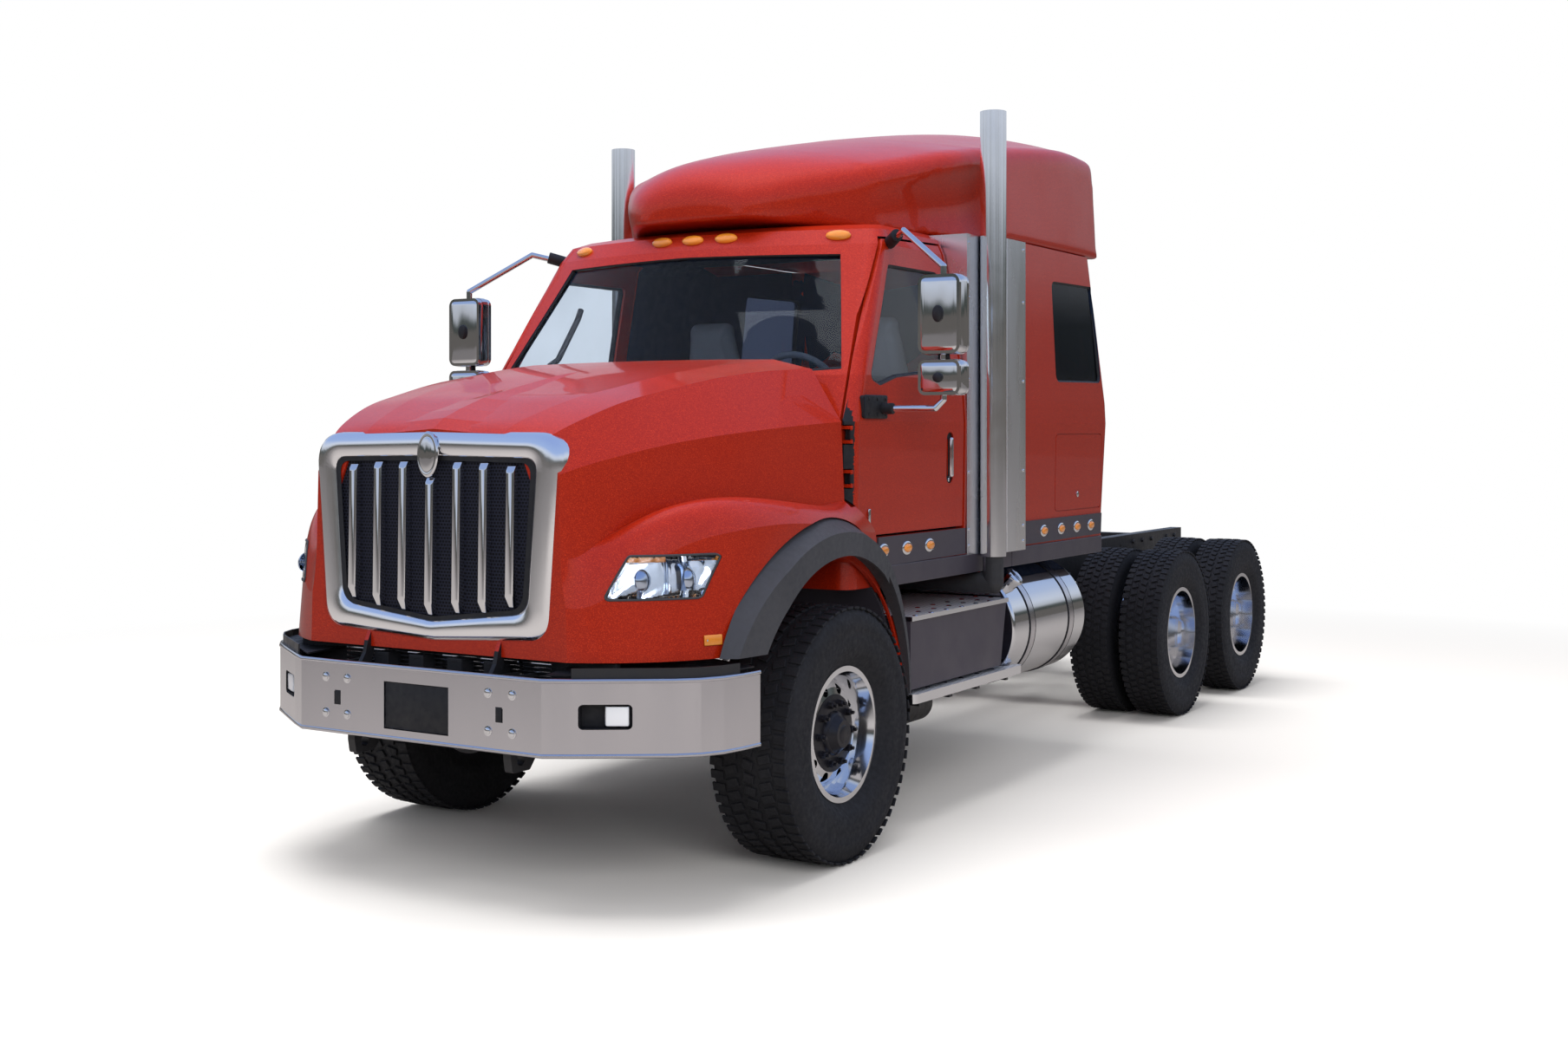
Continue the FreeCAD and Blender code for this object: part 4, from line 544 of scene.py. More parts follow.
# Roof fairing: one moulded shell in the body's red, which stands on the cab and the sleeper.
# Its solid is drawn evenly over, and the nose above its foot more so.

NOSE_BACK = AXLE_Y + 1.10
NOSE_FOOT = 2.95
NOSE_VOXEL = 0.026
nose = own_copy("roof_fairing", "fairing")
only(nose)
nose.data.remesh_voxel_size = NOSE_VOXEL
bpy.ops.object.voxel_remesh()
with editing(nose):
    bpy.ops.mesh.select_mode(type="VERT")
    bpy.ops.mesh.select_all(action="SELECT")
    bpy.ops.mesh.vertices_smooth(factor=0.5, repeat=5)
    bpy.ops.mesh.select_all(action="DESELECT")
for vertex in nose.data.vertices:
    vertex.select = vertex.co.y < NOSE_BACK and vertex.co.z > NOSE_FOOT
bpy.ops.object.mode_set(mode="EDIT")
bpy.ops.mesh.vertices_smooth(factor=0.5, repeat=24)
bpy.ops.object.mode_set(mode="OBJECT")
bpy.ops.object.shade_smooth()
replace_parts(settle(nose, "chassis", red_paint), "roof_fairing")


# Bumper: a stainless bar with rolled lips on the frame's mounts, its ends swept back.
# Its solid and the brackets behind it are bent from the solid's plan to the photograph's.
# Bolts, plate recess, lamp pockets, radiator fins and brackets ride on the chassis too.

OLD_PLAN = ((0, -1.405), (0.650, -1.405), (0.740, -1.387), (0.960, -1.330), (1.110, -1.257), (1.190, -1.180),
            (1.238, -1.075), (1.252, -0.975), (1.235, -0.745))
NEW_PLAN = ((0, -1.392), (0.650, -1.392), (0.749, -1.334), (0.957, -1.197), (1.080, -1.115), (1.155, -1.040),
            (1.202, -0.950), (1.224, -0.850), (1.234, -0.735))
FRONT_Y = AXLE_Y + NEW_PLAN[0][1]
STRAIGHT_HALF = 0.64


def stand(piece, place, direction):
    """Turns a piece that was built about its foot, with +Z outwards, to a direction and moves it to a place."""
    only(piece)
    piece.rotation_mode = "QUATERNION"
    piece.rotation_quaternion = Vector(direction).to_track_quat("Z", "Y")
    piece.location = place
    bpy.ops.object.transform_apply(location=True, rotation=True, scale=True)
    return piece


def lathe(name, profile, place, direction=(0, 0, 1), steps=24, smooth=35):
    """A round piece turned about a line; the profile is a row of (radius, height)."""
    points = [(radius, 0, height) for radius, height in profile]
    piece = spun(name, points, (0, 0, 0), (0, 0, 1), steps, FINE_GAP)
    return stand(smoothed(piece, smooth), place, direction)


def pad(name, width, height, depth, place, direction, soft=0.003, segments=2):
    """A flat block with soft edges stood on a face: width across, height upwards."""
    piece = block(name, (-width / 2, -height / 2, 0), (width / 2, height / 2, depth), soft, segments)
    return stand(smoothed(piece), place, direction)


def pair(name, pieces, body, made):
    """Left-hand pieces and their mirror images, as one piece of a body."""
    left = joined(name, pieces)
    right = copied(left, name + "_other", flip=True)
    return settle(joined(name, [left, right]), body, made)


def without(piece, test):
    """Takes off the faces whose centre and normal pass the test."""
    with editing(piece):
        bpy.ops.mesh.select_mode(type="FACE")
        bpy.ops.mesh.select_all(action="DESELECT")
    for polygon in piece.data.polygons:
        polygon.select = test(polygon.center, polygon.normal)
    bpy.ops.object.mode_set(mode="EDIT")
    bpy.ops.mesh.delete(type="FACE")
    bpy.ops.object.mode_set(mode="OBJECT")
    return piece


def from_rows(name, points, edges, faces):
    """A new piece from its points, and the edges or faces between them."""
    mesh = bpy.data.meshes.new(name)
    mesh.from_pydata(points, edges, faces)
    piece = bpy.data.objects.new(name, mesh)
    scene.collection.objects.link(piece)
    return piece


def rebent(piece, reach):
    """Moves a piece from the old plan to the new, apart from what is behind its straight middle by a reach."""
    for vertex in piece.data.vertices:
        spot = Vector((abs(vertex.co.x), vertex.co.y - AXLE_Y))
        if spot.y > reach and spot.x < STRAIGHT_HALF:
            continue
        found = []
        for index in range(len(OLD_PLAN) - 1):
            start = Vector(OLD_PLAN[index])
            run = Vector(OLD_PLAN[index + 1]) - start
            share = max(0, min(1, (spot - start).dot(run) / run.length_squared))
            away = spot - start - run * share
            found.append((away.length, index, share, away.dot(Vector((-run.y, run.x)).normalized())))
        index, share, offset = min(found)[1:]
        start = Vector(NEW_PLAN[index])
        run = Vector(NEW_PLAN[index + 1]) - start
        spot = start + run * share + Vector((-run.y, run.x)).normalized() * offset
        vertex.co.x = math.copysign(spot.x, vertex.co.x)
        vertex.co.y = spot.y + AXLE_Y
    return piece


def wire(name, points, radius):
    """A round bar bent through a row of points."""
    line = from_rows(name, points, [(index, index + 1) for index in range(len(points) - 1)], [])
    return smoothed(round_bar(line, radius, 3, caps=True), 60)


def plan_row(height, inset):
    """The bumper's plan as a row of places, from its left end to its right."""
    row = []
    for index, (x, y) in enumerate(NEW_PLAN):
        before = Vector(NEW_PLAN[max(index - 1, 0)])
        after = Vector(NEW_PLAN[min(index + 1, len(NEW_PLAN) - 1)])
        run = (after - before).normalized()
        row.append(at(x - run.y * inset if index else 0, y + run.x * inset, height))
    return [Vector((-spot.x, spot.y, spot.z)) for spot in reversed(row[1:])] + row


matt_black = finish("matt_black", (0.012, 0.012, 0.014), 0.0, 0.6, grain=30, shade=0.3)
lamp_white = finish("lamp_white", (0.86, 0.88, 0.92), 0.0, 0.12, grain=30, shade=0.06, coat=1.0)
bar = smoothed(rebent(own_copy("bumper", "bumper_bar"), 1))
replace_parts(settle(bar, "chassis", stainless), "bumper")
mounts = rebent(own_copy("bumper_mounts", "bumper_brackets"), -1.12)
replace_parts(settle(mounts, "chassis", frame_black), "bumper_mounts")
lips = [wire("bumper_lip", plan_row(height, 0.005), 0.010) for height in (0.922, 0.633)]
settle(joined("bumper_lips", lips), "chassis", stainless)
front_row, back_row = plan_row(0.944, 0.030), plan_row(0.972, 0.420)
count = len(front_row)
shelf_faces = [(index, index + 1, count + index + 1, count + index) for index in range(count - 1)
               if front_row[index].x * front_row[index + 1].x > 0.1]
shelf = applied(from_rows("bumper_shelf", front_row + back_row, [], shelf_faces), "SOLIDIFY", thickness=0.006)
settle(shelf, "chassis", matt_black)
BOLT = [(0, 0), (0.020, 0), (0.020, 0.002), (0.0145, 0.003), (0.0140, 0.006), (0.009, 0.0085), (0, 0.0095)]
bolts = [lathe("bumper_bolt", BOLT, (across, FRONT_Y, height), (0, -1, 0), 20)
         for across in (0.382, 0.505) for height in (0.707, 0.857)]
pair("bumper_bolts", bolts, "chassis", chrome)
pair("bumper_slots", [pad("bumper_slot", 0.032, 0.060, 0.0015, (0.437, FRONT_Y, 0.775), (0, -1, 0), 0.0008)],
     "chassis", matt_black)
recess = pad("plate_recess", 0.346, 0.190, 0.004, (0, FRONT_Y + 0.010, 0.765), (0, -1, 0), 0.003)
settle(recess, "chassis", matt_black)

pocket_out = Vector((0.505, -0.863, 0))
pocket_along = Vector((0.863, 0.505, 0))
pocket_place = at(0.856, -1.257, 0.7835)
lining = block("pocket_lining", (-0.100, -0.047, -0.052), (0.100, 0.047, -0.003))
without(lining, lambda centre, normal: normal.z > 0.7)
applied(lining, "SOLIDIFY", thickness=0.002, offset=-1)
pair("pocket_linings", [stand(lining, pocket_place, pocket_out)], "chassis", matt_black)
lamp_place = pocket_place + pocket_along * 0.045
pair("fog_lamp_bezels", [pad("fog_bezel", 0.104, 0.088, 0.022, lamp_place - pocket_out * 0.038, pocket_out,
                             0.010, 3)], "chassis", chrome)
pair("fog_lamps", [pad("fog_lamp", 0.092, 0.076, 0.016, lamp_place - pocket_out * 0.019, pocket_out,
                       0.014, 4)], "chassis", lamp_white)

cooler = block("cooler", at(-0.86, -1.190, 0.640), at(0.86, -1.160, 0.982), 0.006)
settle(cooler, "chassis", matt_black)
radiator_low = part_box("radiator")[0]
fins = [block("fin", (-0.560, radiator_low.y - 0.070, height), (0.560, radiator_low.y - 0.060, height + 0.006),
              0.001, 1) for height in [radiator_low.z - 0.040 + row * 0.017 for row in range(9)]]
settle(joined("radiator_fins", fins), "chassis", aluminium)
brackets = []
for across in (0.105, 0.300):
    bracket = block("bracket", at(across - 0.040, -1.280, 0.862), at(across + 0.040, -1.200, 0.962), 0.004)
    slot = pad("bracket_slot", 0.030, 0.006, 0.003, at(across, -1.2795, 0.950), (0, -1, 0), 0.001, 1)
    brackets.extend([bracket, slot])
pair("valance_brackets", brackets, "chassis", matt_black)


# Grille: rounded chromed frame and bars over fine black mesh, and a plain oval boss.
# The frame is laid between two rounded outlines; the bars are their solids, a little wider and softer.

INNER = ((0, 1.782, 0.3), (0.546, 1.775, 0.055), (0.498, 1.168, 0.085), (0, 1.112, 0.3))
OUTER = ((0, 1.896, 0.3), (0.674, 1.880, 0.135), (0.612, 1.050, 0.115), (0, 1.020, 0.3))
CORNER_STEPS = 9


def rounded(corners):
    """A symmetric outline in the grille's plane, its corners rounded: (x, z) all the way round."""
    whole = corners + tuple((-x, z, radius) for x, z, radius in reversed(corners[1:-1]))
    ring = [Vector((x, z)) for x, z, radius in whole]
    points = []
    for index, corner in enumerate(ring):
        back = (ring[index - 1] - corner).normalized()
        ahead = (ring[(index + 1) % len(ring)] - corner).normalized()
        reach = min(whole[index][2] / math.tan(back.angle(ahead) / 2), 0.2)
        start, end = corner + back * reach, corner + ahead * reach
        for step in range(CORNER_STEPS + 1):
            share = step / CORNER_STEPS
            points.append(start * (1 - share) ** 2 + corner * 2 * share * (1 - share) + end * share ** 2)
    return points


def thickened(piece, thickness):
    """Gives a face thickness inwards."""
    return applied(piece, "SOLIDIFY", thickness=thickness, offset=-1, use_even_offset=True)


def squeezed(piece, width, height, place, direction):
    """A round piece of radius 1 drawn out to an oval and stood on its place."""
    only(piece)
    piece.scale = (width / 2, height / 2, 1)
    bpy.ops.object.transform_apply(location=True, rotation=True, scale=True)
    return stand(piece, place, direction)


def tinted_faces(node, made, test):
    """Gives some faces of a solid a second finish."""
    mesh = nodes[node].data
    mesh.materials.append(made)
    last = len(mesh.materials) - 1
    for polygon in mesh.polygons:
        if test(polygon.center, polygon.normal):
            polygon.material_index = last


inner_ring = rounded(INNER)
outer_ring = rounded(OUTER)
count = len(inner_ring)
rows = []
for share, along in ((0, -1.245), (0, -1.290), (0.05, -1.303), (0.18, -1.311), (0.45, -1.315), (0.70, -1.309),
                     (0.86, -1.298), (0.96, -1.280), (1.0, -1.252), (1.02, -1.150)):
    for inside, outside in zip(inner_ring, outer_ring):
        spot = inside + (outside - inside) * share
        rows.append(at(spot.x, along, spot.y))
faces = [(ring * count + index, ring * count + (index + 1) % count, (ring + 1) * count + (index + 1) % count,
          (ring + 1) * count + index) for ring in range(9) for index in range(count)]
surround = from_rows("grille_frame", rows, [], faces)
with editing(surround):
    bpy.ops.mesh.normals_make_consistent(inside=False)
smoothed(thickened(surround, 0.004), 60)
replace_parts(settle(surround, "hood", bright_chrome), "grille_surround")
BAR_PLACES = (0, 0.147, 0.287, 0.428, -0.147, -0.287, -0.428)
BAR_WIDENING = 1.3
bars = own_copy("grille_bars", "grille_slats")
for vertex in bars.data.vertices:
    middle_x = min(BAR_PLACES, key=lambda x: abs(x - vertex.co.x))
    vertex.co.x = middle_x + (vertex.co.x - middle_x) * BAR_WIDENING
with editing(bars):
    bpy.ops.mesh.remove_doubles(threshold=FINE_GAP)
    bpy.ops.mesh.dissolve_limited(angle_limit=math.radians(2))
smoothed(softened(bars, 0.009, 3), 50)
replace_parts(settle(bars, "hood", chrome), "grille_bars")
boss = lathe("grille_boss", [(0, 0), (1, 0), (1, 0.006), (0.93, 0.012), (0.86, 0.013), (0.80, 0.010),
                             (0.74, 0.012), (0.5, 0.0155), (0, 0.017)], (0, 0, 0), (0, 0, 1), 40, 50)
squeezed(boss, 0.112, 0.188, at(0, -1.316, 1.792), (0, -1, 0.03))
settle(boss, "hood", chrome)


def celled(name, look, cells, depth, turn=(0, 0, 0), invert=False):
    """A finish with a pattern of cells in relief, and its tree and shader."""
    made, tree, shader = material(name, look)
    place = added(tree, "TexCoord")
    mapping = added(tree, "Mapping", {"Rotation": turn})
    pattern = added(tree, "TexBrick", cells, offset=0.5)
    relief = added(tree, "Bump", {"Distance": depth}, invert=invert)
    linked(tree, (place, "Object", mapping, "Vector"), (mapping, "Vector", pattern, "Vector"),
           (pattern, "Color", shader, "Base Color"), (pattern, "Fac", relief, "Height"),
           (relief, "Normal", shader, "Normal"))
    return made, tree, shader


MESH_CELLS = {"Scale": 62, "Brick Width": 1.0, "Row Height": 0.86, "Mortar Size": 0.17, "Mortar Smooth": 0.35,
              "Color1": (0.004, 0.004, 0.006, 1), "Color2": (0.006, 0.006, 0.009, 1),
              "Mortar": (0.022, 0.024, 0.040, 1)}
mesh_black = celled("mesh_black", {"Roughness": 0.6, "Specular IOR Level": 0.2}, MESH_CELLS, 0.003,
                    turn=(math.radians(90), 0, 0))[0]
dress(["grille_mesh"], mesh_black)
tinted_faces("hood", matt_black, lambda centre, normal: abs(centre.x) < 0.6 and centre.z < 1.02
             and (centre.y < AXLE_Y - 1.262 or abs(normal.x) > 0.6))
lip_rows = [at(spot.x * scale, -1.2950, 1.45 + (spot.y - 1.45) * scale) for scale in (1.03, 0.955)
            for spot in inner_ring]
lip = from_rows("grille_return", lip_rows, [], faces[:count])
settle(thickened(lip, 0.0015), "hood", matt_black)


# Headlamps: dark bezel, chromed tray with two bowls and a divider, amber strip, clear cover.
# Tray, strip and cover are cut from the lamp's own curved face.
# The fender's amber marker and its screws ride on the hood too.

def skin_of(node):
    """A solid's surface, to be searched."""
    mesh = nodes[node].data
    return BVHTree.FromPolygons([vertex.co for vertex in mesh.vertices],
                                [tuple(polygon.vertices) for polygon in mesh.polygons])


def skin_at(node, place):
    """The point of a solid's surface nearest to a place, and the way it faces there."""
    return skin_of(node).find_nearest(place)[:2]


def own_face(node, name, test):
    """A copy of part of a solid's surface: the faces whose centre and normal pass the test."""
    piece = without(own_copy(node, name), lambda centre, normal: not test(centre, normal))
    with editing(piece):
        bpy.ops.mesh.remove_doubles(threshold=FINE_GAP)
    return piece


def sunk(piece, depth):
    """Moves a face inwards along its normals."""
    with editing(piece):
        bpy.ops.transform.shrink_fatten(value=-depth)
    return piece


def sliced(piece, point, normal):
    """Cuts away what lies on the far side of a plane."""
    with editing(piece):
        bpy.ops.mesh.bisect(plane_co=point, plane_no=normal, clear_outer=True)
    return piece


def beaded(piece, radius):
    """Turns a face into a round bead along its outline."""
    with editing(piece):
        bpy.ops.mesh.region_to_loop()
        bpy.ops.mesh.select_all(action="INVERT")
        bpy.ops.mesh.delete(type="EDGE_FACE")
    return round_bar(piece, radius)


def lens_face(centre, normal):
    """The part of the lamp that faces forwards."""
    return normal.y < -0.2 and abs(normal.z) < 0.8


# The reflector chrome is tinted blue: a painted reflection of the sky.
reflector = finish("reflector_blue", (0.62, 0.70, 0.84), 1.0, 0.14, grain=20, shade=0.2)
BOWL_DEPTH = 0.036
cover = thickened(own_face("headlamps", "headlamp_covers", lens_face), 0.0025)
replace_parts(settle(cover, "hood", clear), "headlamps")
tray = thickened(own_face("headlamps", "headlamp_trays", lens_face), BOWL_DEPTH)
without(tray, lens_face)
settle(tray, "hood", reflector)
bezel = beaded(sunk(own_face("headlamps", "headlamp_bezels", lens_face), 0.001), 0.0048)
settle(bezel, "hood", grained_black)
strip = sliced(own_face("headlamps", "headlamp_strips", lens_face), (0, 0, 1.3725), (0, 0, -1))
strip = thickened(sunk(sliced(strip, (0, 0, 1.3915), (0, 0, 1)), 0.004), 0.006)
settle(strip, "hood", amber_lens)
LAMP_BOWL = [(0, 0), (0.017, 0.001), (0.031, 0.006), (0.040, 0.014), (0.043, 0.019), (0.045, 0.019),
             (0.043, 0.012), (0.033, 0.001), (0.017, -0.004), (0, -0.005)]
LAMP_EYE = [(0, 0.014), (0.008, 0.013), (0.014, 0.008), (0.016, 0), (0, 0)]
lamp_fittings = []
for across, along in ((0.905, -1.075), (1.022, -0.930)):
    skin, normal = skin_at("headlamps", at(across, along, 1.300))
    facing = normal * 1.5 + Vector((0, -1, 0))
    lamp_fittings.append(lathe("lamp_bowl", LAMP_BOWL, skin - normal * BOWL_DEPTH, facing, 28))
    lamp_fittings.append(lathe("lamp_eye", LAMP_EYE, skin - normal * 0.033, facing, 20))
for place, size in ((at(0.965, -1.005, 1.305), (0.014, 0.150, 0.026)),
                    (at(1.062, -0.88, 1.26), (0.080, 0.016, 0.020))):
    skin, normal = skin_at("headlamps", place)
    lamp_fittings.append(pad("lamp_divider", *size, skin - normal * 0.034, normal, 0.004))
pair("lamp_fittings", lamp_fittings, "hood", reflector)

skin, normal = skin_at("hood", at(1.15, -0.908, 1.062))
pair("fender_markers", [pad("fender_marker", 0.084, 0.042, 0.010, skin - normal * 0.001, normal, 0.004, 3)],
     "hood", amber_lens)
screws = [lathe("marker_screw", [(0, 0), (0.004, 0), (0.004, 0.002), (0, 0.003)],
                skin + normal * 0.009 + Vector((0.30, 0.93, 0)) * shift, normal, 12)
          for shift in (-0.033, 0.033)]
pair("marker_screws", screws, "hood", chrome)


# Marker lamps: amber domes in chromed rings along the sills, and five on the roof's front edge.
# Each stands on the surface that carries it.

def oval(name, width, height, rise, place, direction):
    """A shallow domed oval."""
    dome = [(0, 0), (1, 0), (1, rise * 0.35), (0.93, rise * 0.7), (0.7, rise * 0.93), (0, rise)]
    return squeezed(lathe(name, dome, (0, 0, 0), (0, 0, 1), 28, 50), width, height, place, direction)


trim_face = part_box("sill_trim")[1].x
rings = []
domes = []
for along in (0.539, 0.776, 1.016, 2.442, 2.694, 2.931, 3.150):
    rings.append(oval("marker_ring", 0.104, 0.066, 0.006, at(trim_face, along, 1.328), (1, 0, 0)))
    domes.append(oval("marker_dome", 0.076, 0.042, 0.013, at(trim_face + 0.002, along, 1.328), (1, 0, 0)))
for across, along in ((0.195, 0.590), (0.780, 0.690), (0, 0.58)):
    skin, normal = skin_at("cab", at(across, along, 2.853))
    domes.append(oval("roof_lamp", 0.125, 0.056, 0.024, skin - normal * 0.002, normal))
middle_lamp = domes.pop()
left_domes = joined("left_domes", domes)
all_domes = joined("marker_domes", [left_domes, copied(left_domes, "right_domes", flip=True), middle_lamp])
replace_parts(settle(all_domes, "chassis", amber_lens), "marker_lamps")
pair("marker_rings", rings, "chassis", chrome)


# Doors: chromed grip in a dark cup, lock, latch, and the mirrors' dark feet and clamps.
# The mirrors keep their solids' form with softer heads; glass, knobs and cuffs are added.

def tube(name, start, end, radius, sides=20):
    """A straight round bar between two places."""
    length = (end - start).length
    edge = min(radius * 0.15, 0.003)
    return lathe(name, [(0, 0), (radius - edge, 0), (radius, edge), (radius, length - edge),
                        (radius - edge, length), (0, length)], start, end - start, sides)


def mirrored_doors(name, pieces, made):
    """Left-hand pieces of a door, and their mirror images on the other door."""
    left = joined(name + "_left", pieces)
    right = copied(left, name + "_right", flip=True)
    settle(left, "left_door", made)
    settle(right, "right_door", made)


def handle_cup(centre, normal):
    """The cup behind the door's grip."""
    along = centre.y - AXLE_Y
    return 1.21 < along < 1.295 and 1.62 < centre.z < 1.885 and 1.09 < abs(centre.x) < 1.103


def inside_door(centre, normal):
    """The door's lining."""
    return normal.x * centre.x < -0.3 and centre.z < 2.07


trim_grey = finish("trim_grey", (0.10, 0.105, 0.12), 0.0, 0.6, grain=40, bump=0.0004, bump_scale=900)
for node in ("door_left", "door_right"):
    tinted_faces(node, trim_grey, inside_door)
    tinted_faces(node, matt_black, handle_cup)
    tinted_faces(node, matt_black, lambda centre, normal: centre.y < AXLE_Y + 0.275)
grips = [pad("grip", 0.030, 0.200, 0.028, at(1.0990, 1.2525, 1.755), (1, 0, 0), 0.011, 4)]
locks = [lathe("lock", [(0, 0), (0.010, 0), (0.010, 0.004), (0.007, 0.006), (0, 0.006)],
               at(1.0985, 1.2525, 1.642), (1, 0, 0), 16)]
skin, normal = skin_at("door_left", at(1.11, 0.404, 1.488))
latch = pad("latch", 0.020, 0.080, 0.010, skin, normal, 0.004, 3)
mirrored_doors("door_grips", grips + locks + [latch], chrome)

for node in ("mirror_left", "mirror_right"):
    tinted_faces(node, matt_black, lambda centre, normal: abs(centre.x) < 1.124 and centre.z < 2.07
                 or abs(centre.x) < 1.045 and centre.z > 2.7)
heads = [pad("mirror_head", 0.216, 0.368, 0.112, at(1.422, 0.596, 2.419), (0, -1, 0), 0.038, 5),
         pad("spot_head", 0.216, 0.166, 0.112, at(1.422, 0.596, 2.131), (0, -1, 0), 0.036, 5)]
mirrored_doors("mirror_heads", heads, chrome)
foot = pad("mirror_foot", 0.215, 0.110, 0.016, at(1.114, 0.445, 1.998), (1, 0, 0), 0.010, 3)
cuffs = [foot, tube("foot_cuff", at(1.125, 0.500, 1.990), at(1.185, 0.504, 1.990), 0.026),
         tube("pillar_cuff", at(0.985, 0.838, 2.797), at(1.065, 0.768, 2.826), 0.031),
         oval("knob", 0.050, 0.078, 0.020, at(1.422, 0.484, 2.420), (0, -1, 0)),
         oval("knob", 0.046, 0.046, 0.020, at(1.422, 0.484, 2.130), (0, -1, 0)),
         pad("head_link", 0.050, 0.040, 0.030, at(1.422, 0.560, 2.224), (0, -1, 0), 0.006)]
for height in (0.035, -0.035):
    for along in (0.37, 0.45, 0.53):
        cuffs.append(lathe("foot_screw", [(0, 0), (0.008, 0), (0.008, 0.003), (0, 0.005)],
                           at(1.1295, along, 1.998 + height), (1, 0, 0), 12))
mirrored_doors("mirror_mounts", cuffs, matt_black)
mirror_glass = finish("mirror_glass", (0.55, 0.58, 0.62), 1.0, 0.02, grain=4, shade=0.05)
panes = [pad("mirror_pane", 0.158, 0.305, 0.004, at(1.422, 0.5955, 2.419), (0, 1, 0), 0.0015),
         pad("spot_pane", 0.158, 0.108, 0.004, at(1.422, 0.5955, 2.131), (0, 1, 0), 0.0015)]
mirrored_doors("mirror_panes", panes, mirror_glass)


# Wheels: dark steer hubs and bright drive hubs, with ring nuts, on polished discs.
# Every wheel's fittings roll with it.

rim_dark = finish("hub_black", (0.016, 0.015, 0.020), 0.3, 0.36, grain=20, shade=0.3)
HEX = [(0, 0), (0.0190, 0), (0.0190, 0.003), (0.0165, 0.004), (0.0165, 0.022), (0.0145, 0.026), (0.0085, 0.027),
       (0.0085, 0.040), (0, 0.041)]
NUT_OUT = 0.003
STEER_X = 1.055
STEER_DISC_OUT = 0.096
DRIVE_X = 1.070
DRIVE_DISC_IN = 0.152


def hub_with_nuts(name, profile, centre, face, circle):
    """A hub turned from its profile, with its ten nuts on a circle round it."""
    parts = [lathe(name, profile, (face, centre.y, centre.z), (1, 0, 0), 48)]
    for index in range(10):
        turn = math.tau * index / 10
        spot = (face + NUT_OUT, centre.y + circle * math.cos(turn), centre.z + circle * math.sin(turn))
        parts.append(lathe("nut", HEX, spot, (1, 0, 0), 6, 20))
    return joined(name + "_left", parts)


hub_centre = (front_wheel_low + front_wheel_high) / 2
disc_x = STEER_X + STEER_DISC_OUT
STEER_HUB = [(0, 0.058), (0.030, 0.058), (0.046, 0.052), (0.052, 0.044), (0.056, 0.028), (0.084, 0.024),
             (0.094, 0.015), (0.098, 0.004), (0.160, 0.003), (0.170, 0.0005), (0, 0.0005)]
hub = hub_with_nuts("steer_hub", STEER_HUB, hub_centre, disc_x, 0.134)
other_hub = copied(hub, "steer_hub_right", flip=True)
settle(hub, "front_left_wheel", rim_dark)
settle(other_hub, "front_right_wheel", rim_dark)
for node in ("wheel_front_left", "wheel_front_right"):
    tinted_faces(node, rim_dark, lambda centre, normal: abs(centre.x) > disc_x + 0.002
                 and math.hypot(centre.y - hub_centre.y, centre.z - hub_centre.z) < 0.13)

drive_low, drive_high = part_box("wheels_drive_front_left")
drive_centre = Vector((DRIVE_X, (drive_low.y + drive_high.y) / 2, (drive_low.z + drive_high.z) / 2))
face_x = DRIVE_X - DRIVE_DISC_IN
DRIVE_HUB = [(0, 0.134), (0.050, 0.134), (0.064, 0.132), (0.075, 0.128), (0.078, 0.114), (0.096, 0.100),
             (0.113, 0.044), (0.124, 0.004), (0.190, 0.003), (0.196, 0.0005), (0, 0.0005)]
hub = hub_with_nuts("drive_hub_front", DRIVE_HUB, drive_centre, face_x, 0.158)
rear_hub = copied(hub, "drive_hub_rear_left", (0, tandem_spread, 0))
for corner, piece in (("front_right", copied(hub, "drive_hub_front_right", flip=True)),
                      ("rear_right", copied(rear_hub, "drive_hub_rear_right", flip=True)),
                      ("front_left", hub), ("rear_left", rear_hub)):
    settle(piece, "drive_" + corner, aluminium)


# Side equipment: tank caps and strap edges, shield rivets, tread plates, sill skirts, locker locks.
# All of it rides on the chassis, in pairs. The stacks' feet are dark pipe.

tinted_faces("exhaust_stacks", cast_dark, lambda centre, normal: centre.z < 1.20)
TANK_X = 0.835
TANK_Z = 0.822
TANK_CAP = [(0, 0.026), (0.046, 0.026), (0.054, 0.020), (0.056, 0.014), (0.056, 0.002), (0.052, 0), (0, 0)]
slant = Vector((1, 0, 1)).normalized()
cap_place = at(TANK_X, 2.035, TANK_Z) + slant * 0.380
pair("tank_caps", [lathe("tank_cap", TANK_CAP, cap_place, slant, 14, 20),
                   pad("cap_bar", 0.020, 0.084, 0.010, cap_place + slant * 0.025, slant, 0.003)],
     "chassis", aluminium)
edges = [lathe("strap_edge", [(0.3305, 0), (0.3345, 0), (0.3345, 0.006), (0.3305, 0.006)],
               at(TANK_X, along + shift, TANK_Z), (0, 1, 0), 72)
         for along in (2.135, 2.685) for shift in (-0.007, 0.061)]
pair("strap_edges", edges, "chassis", seal_rubber)
rivets = []
for height in (1.300, 1.382, 1.675, 2.150, 2.570, 2.850):
    for along, across in ((1.460, 1.13), (1.965, 1.22)):
        skin, normal = skin_at("heat_shields", at(across, along, height))
        rivets.append(lathe("rivet", [(0, 0), (0.009, 0), (0.008, 0.003), (0.004, 0.005), (0, 0.0055)],
                            skin, normal, 12))
rivets.append(lathe("locker_lock", [(0, 0), (0.017, 0), (0.017, 0.004), (0.012, 0.006), (0, 0.006)],
                    skin_at("sleeper", at(1.12, 2.958, 1.516))[0], (1, 0, 0.02), 20))
pair("rivets", rivets, "chassis", chrome)

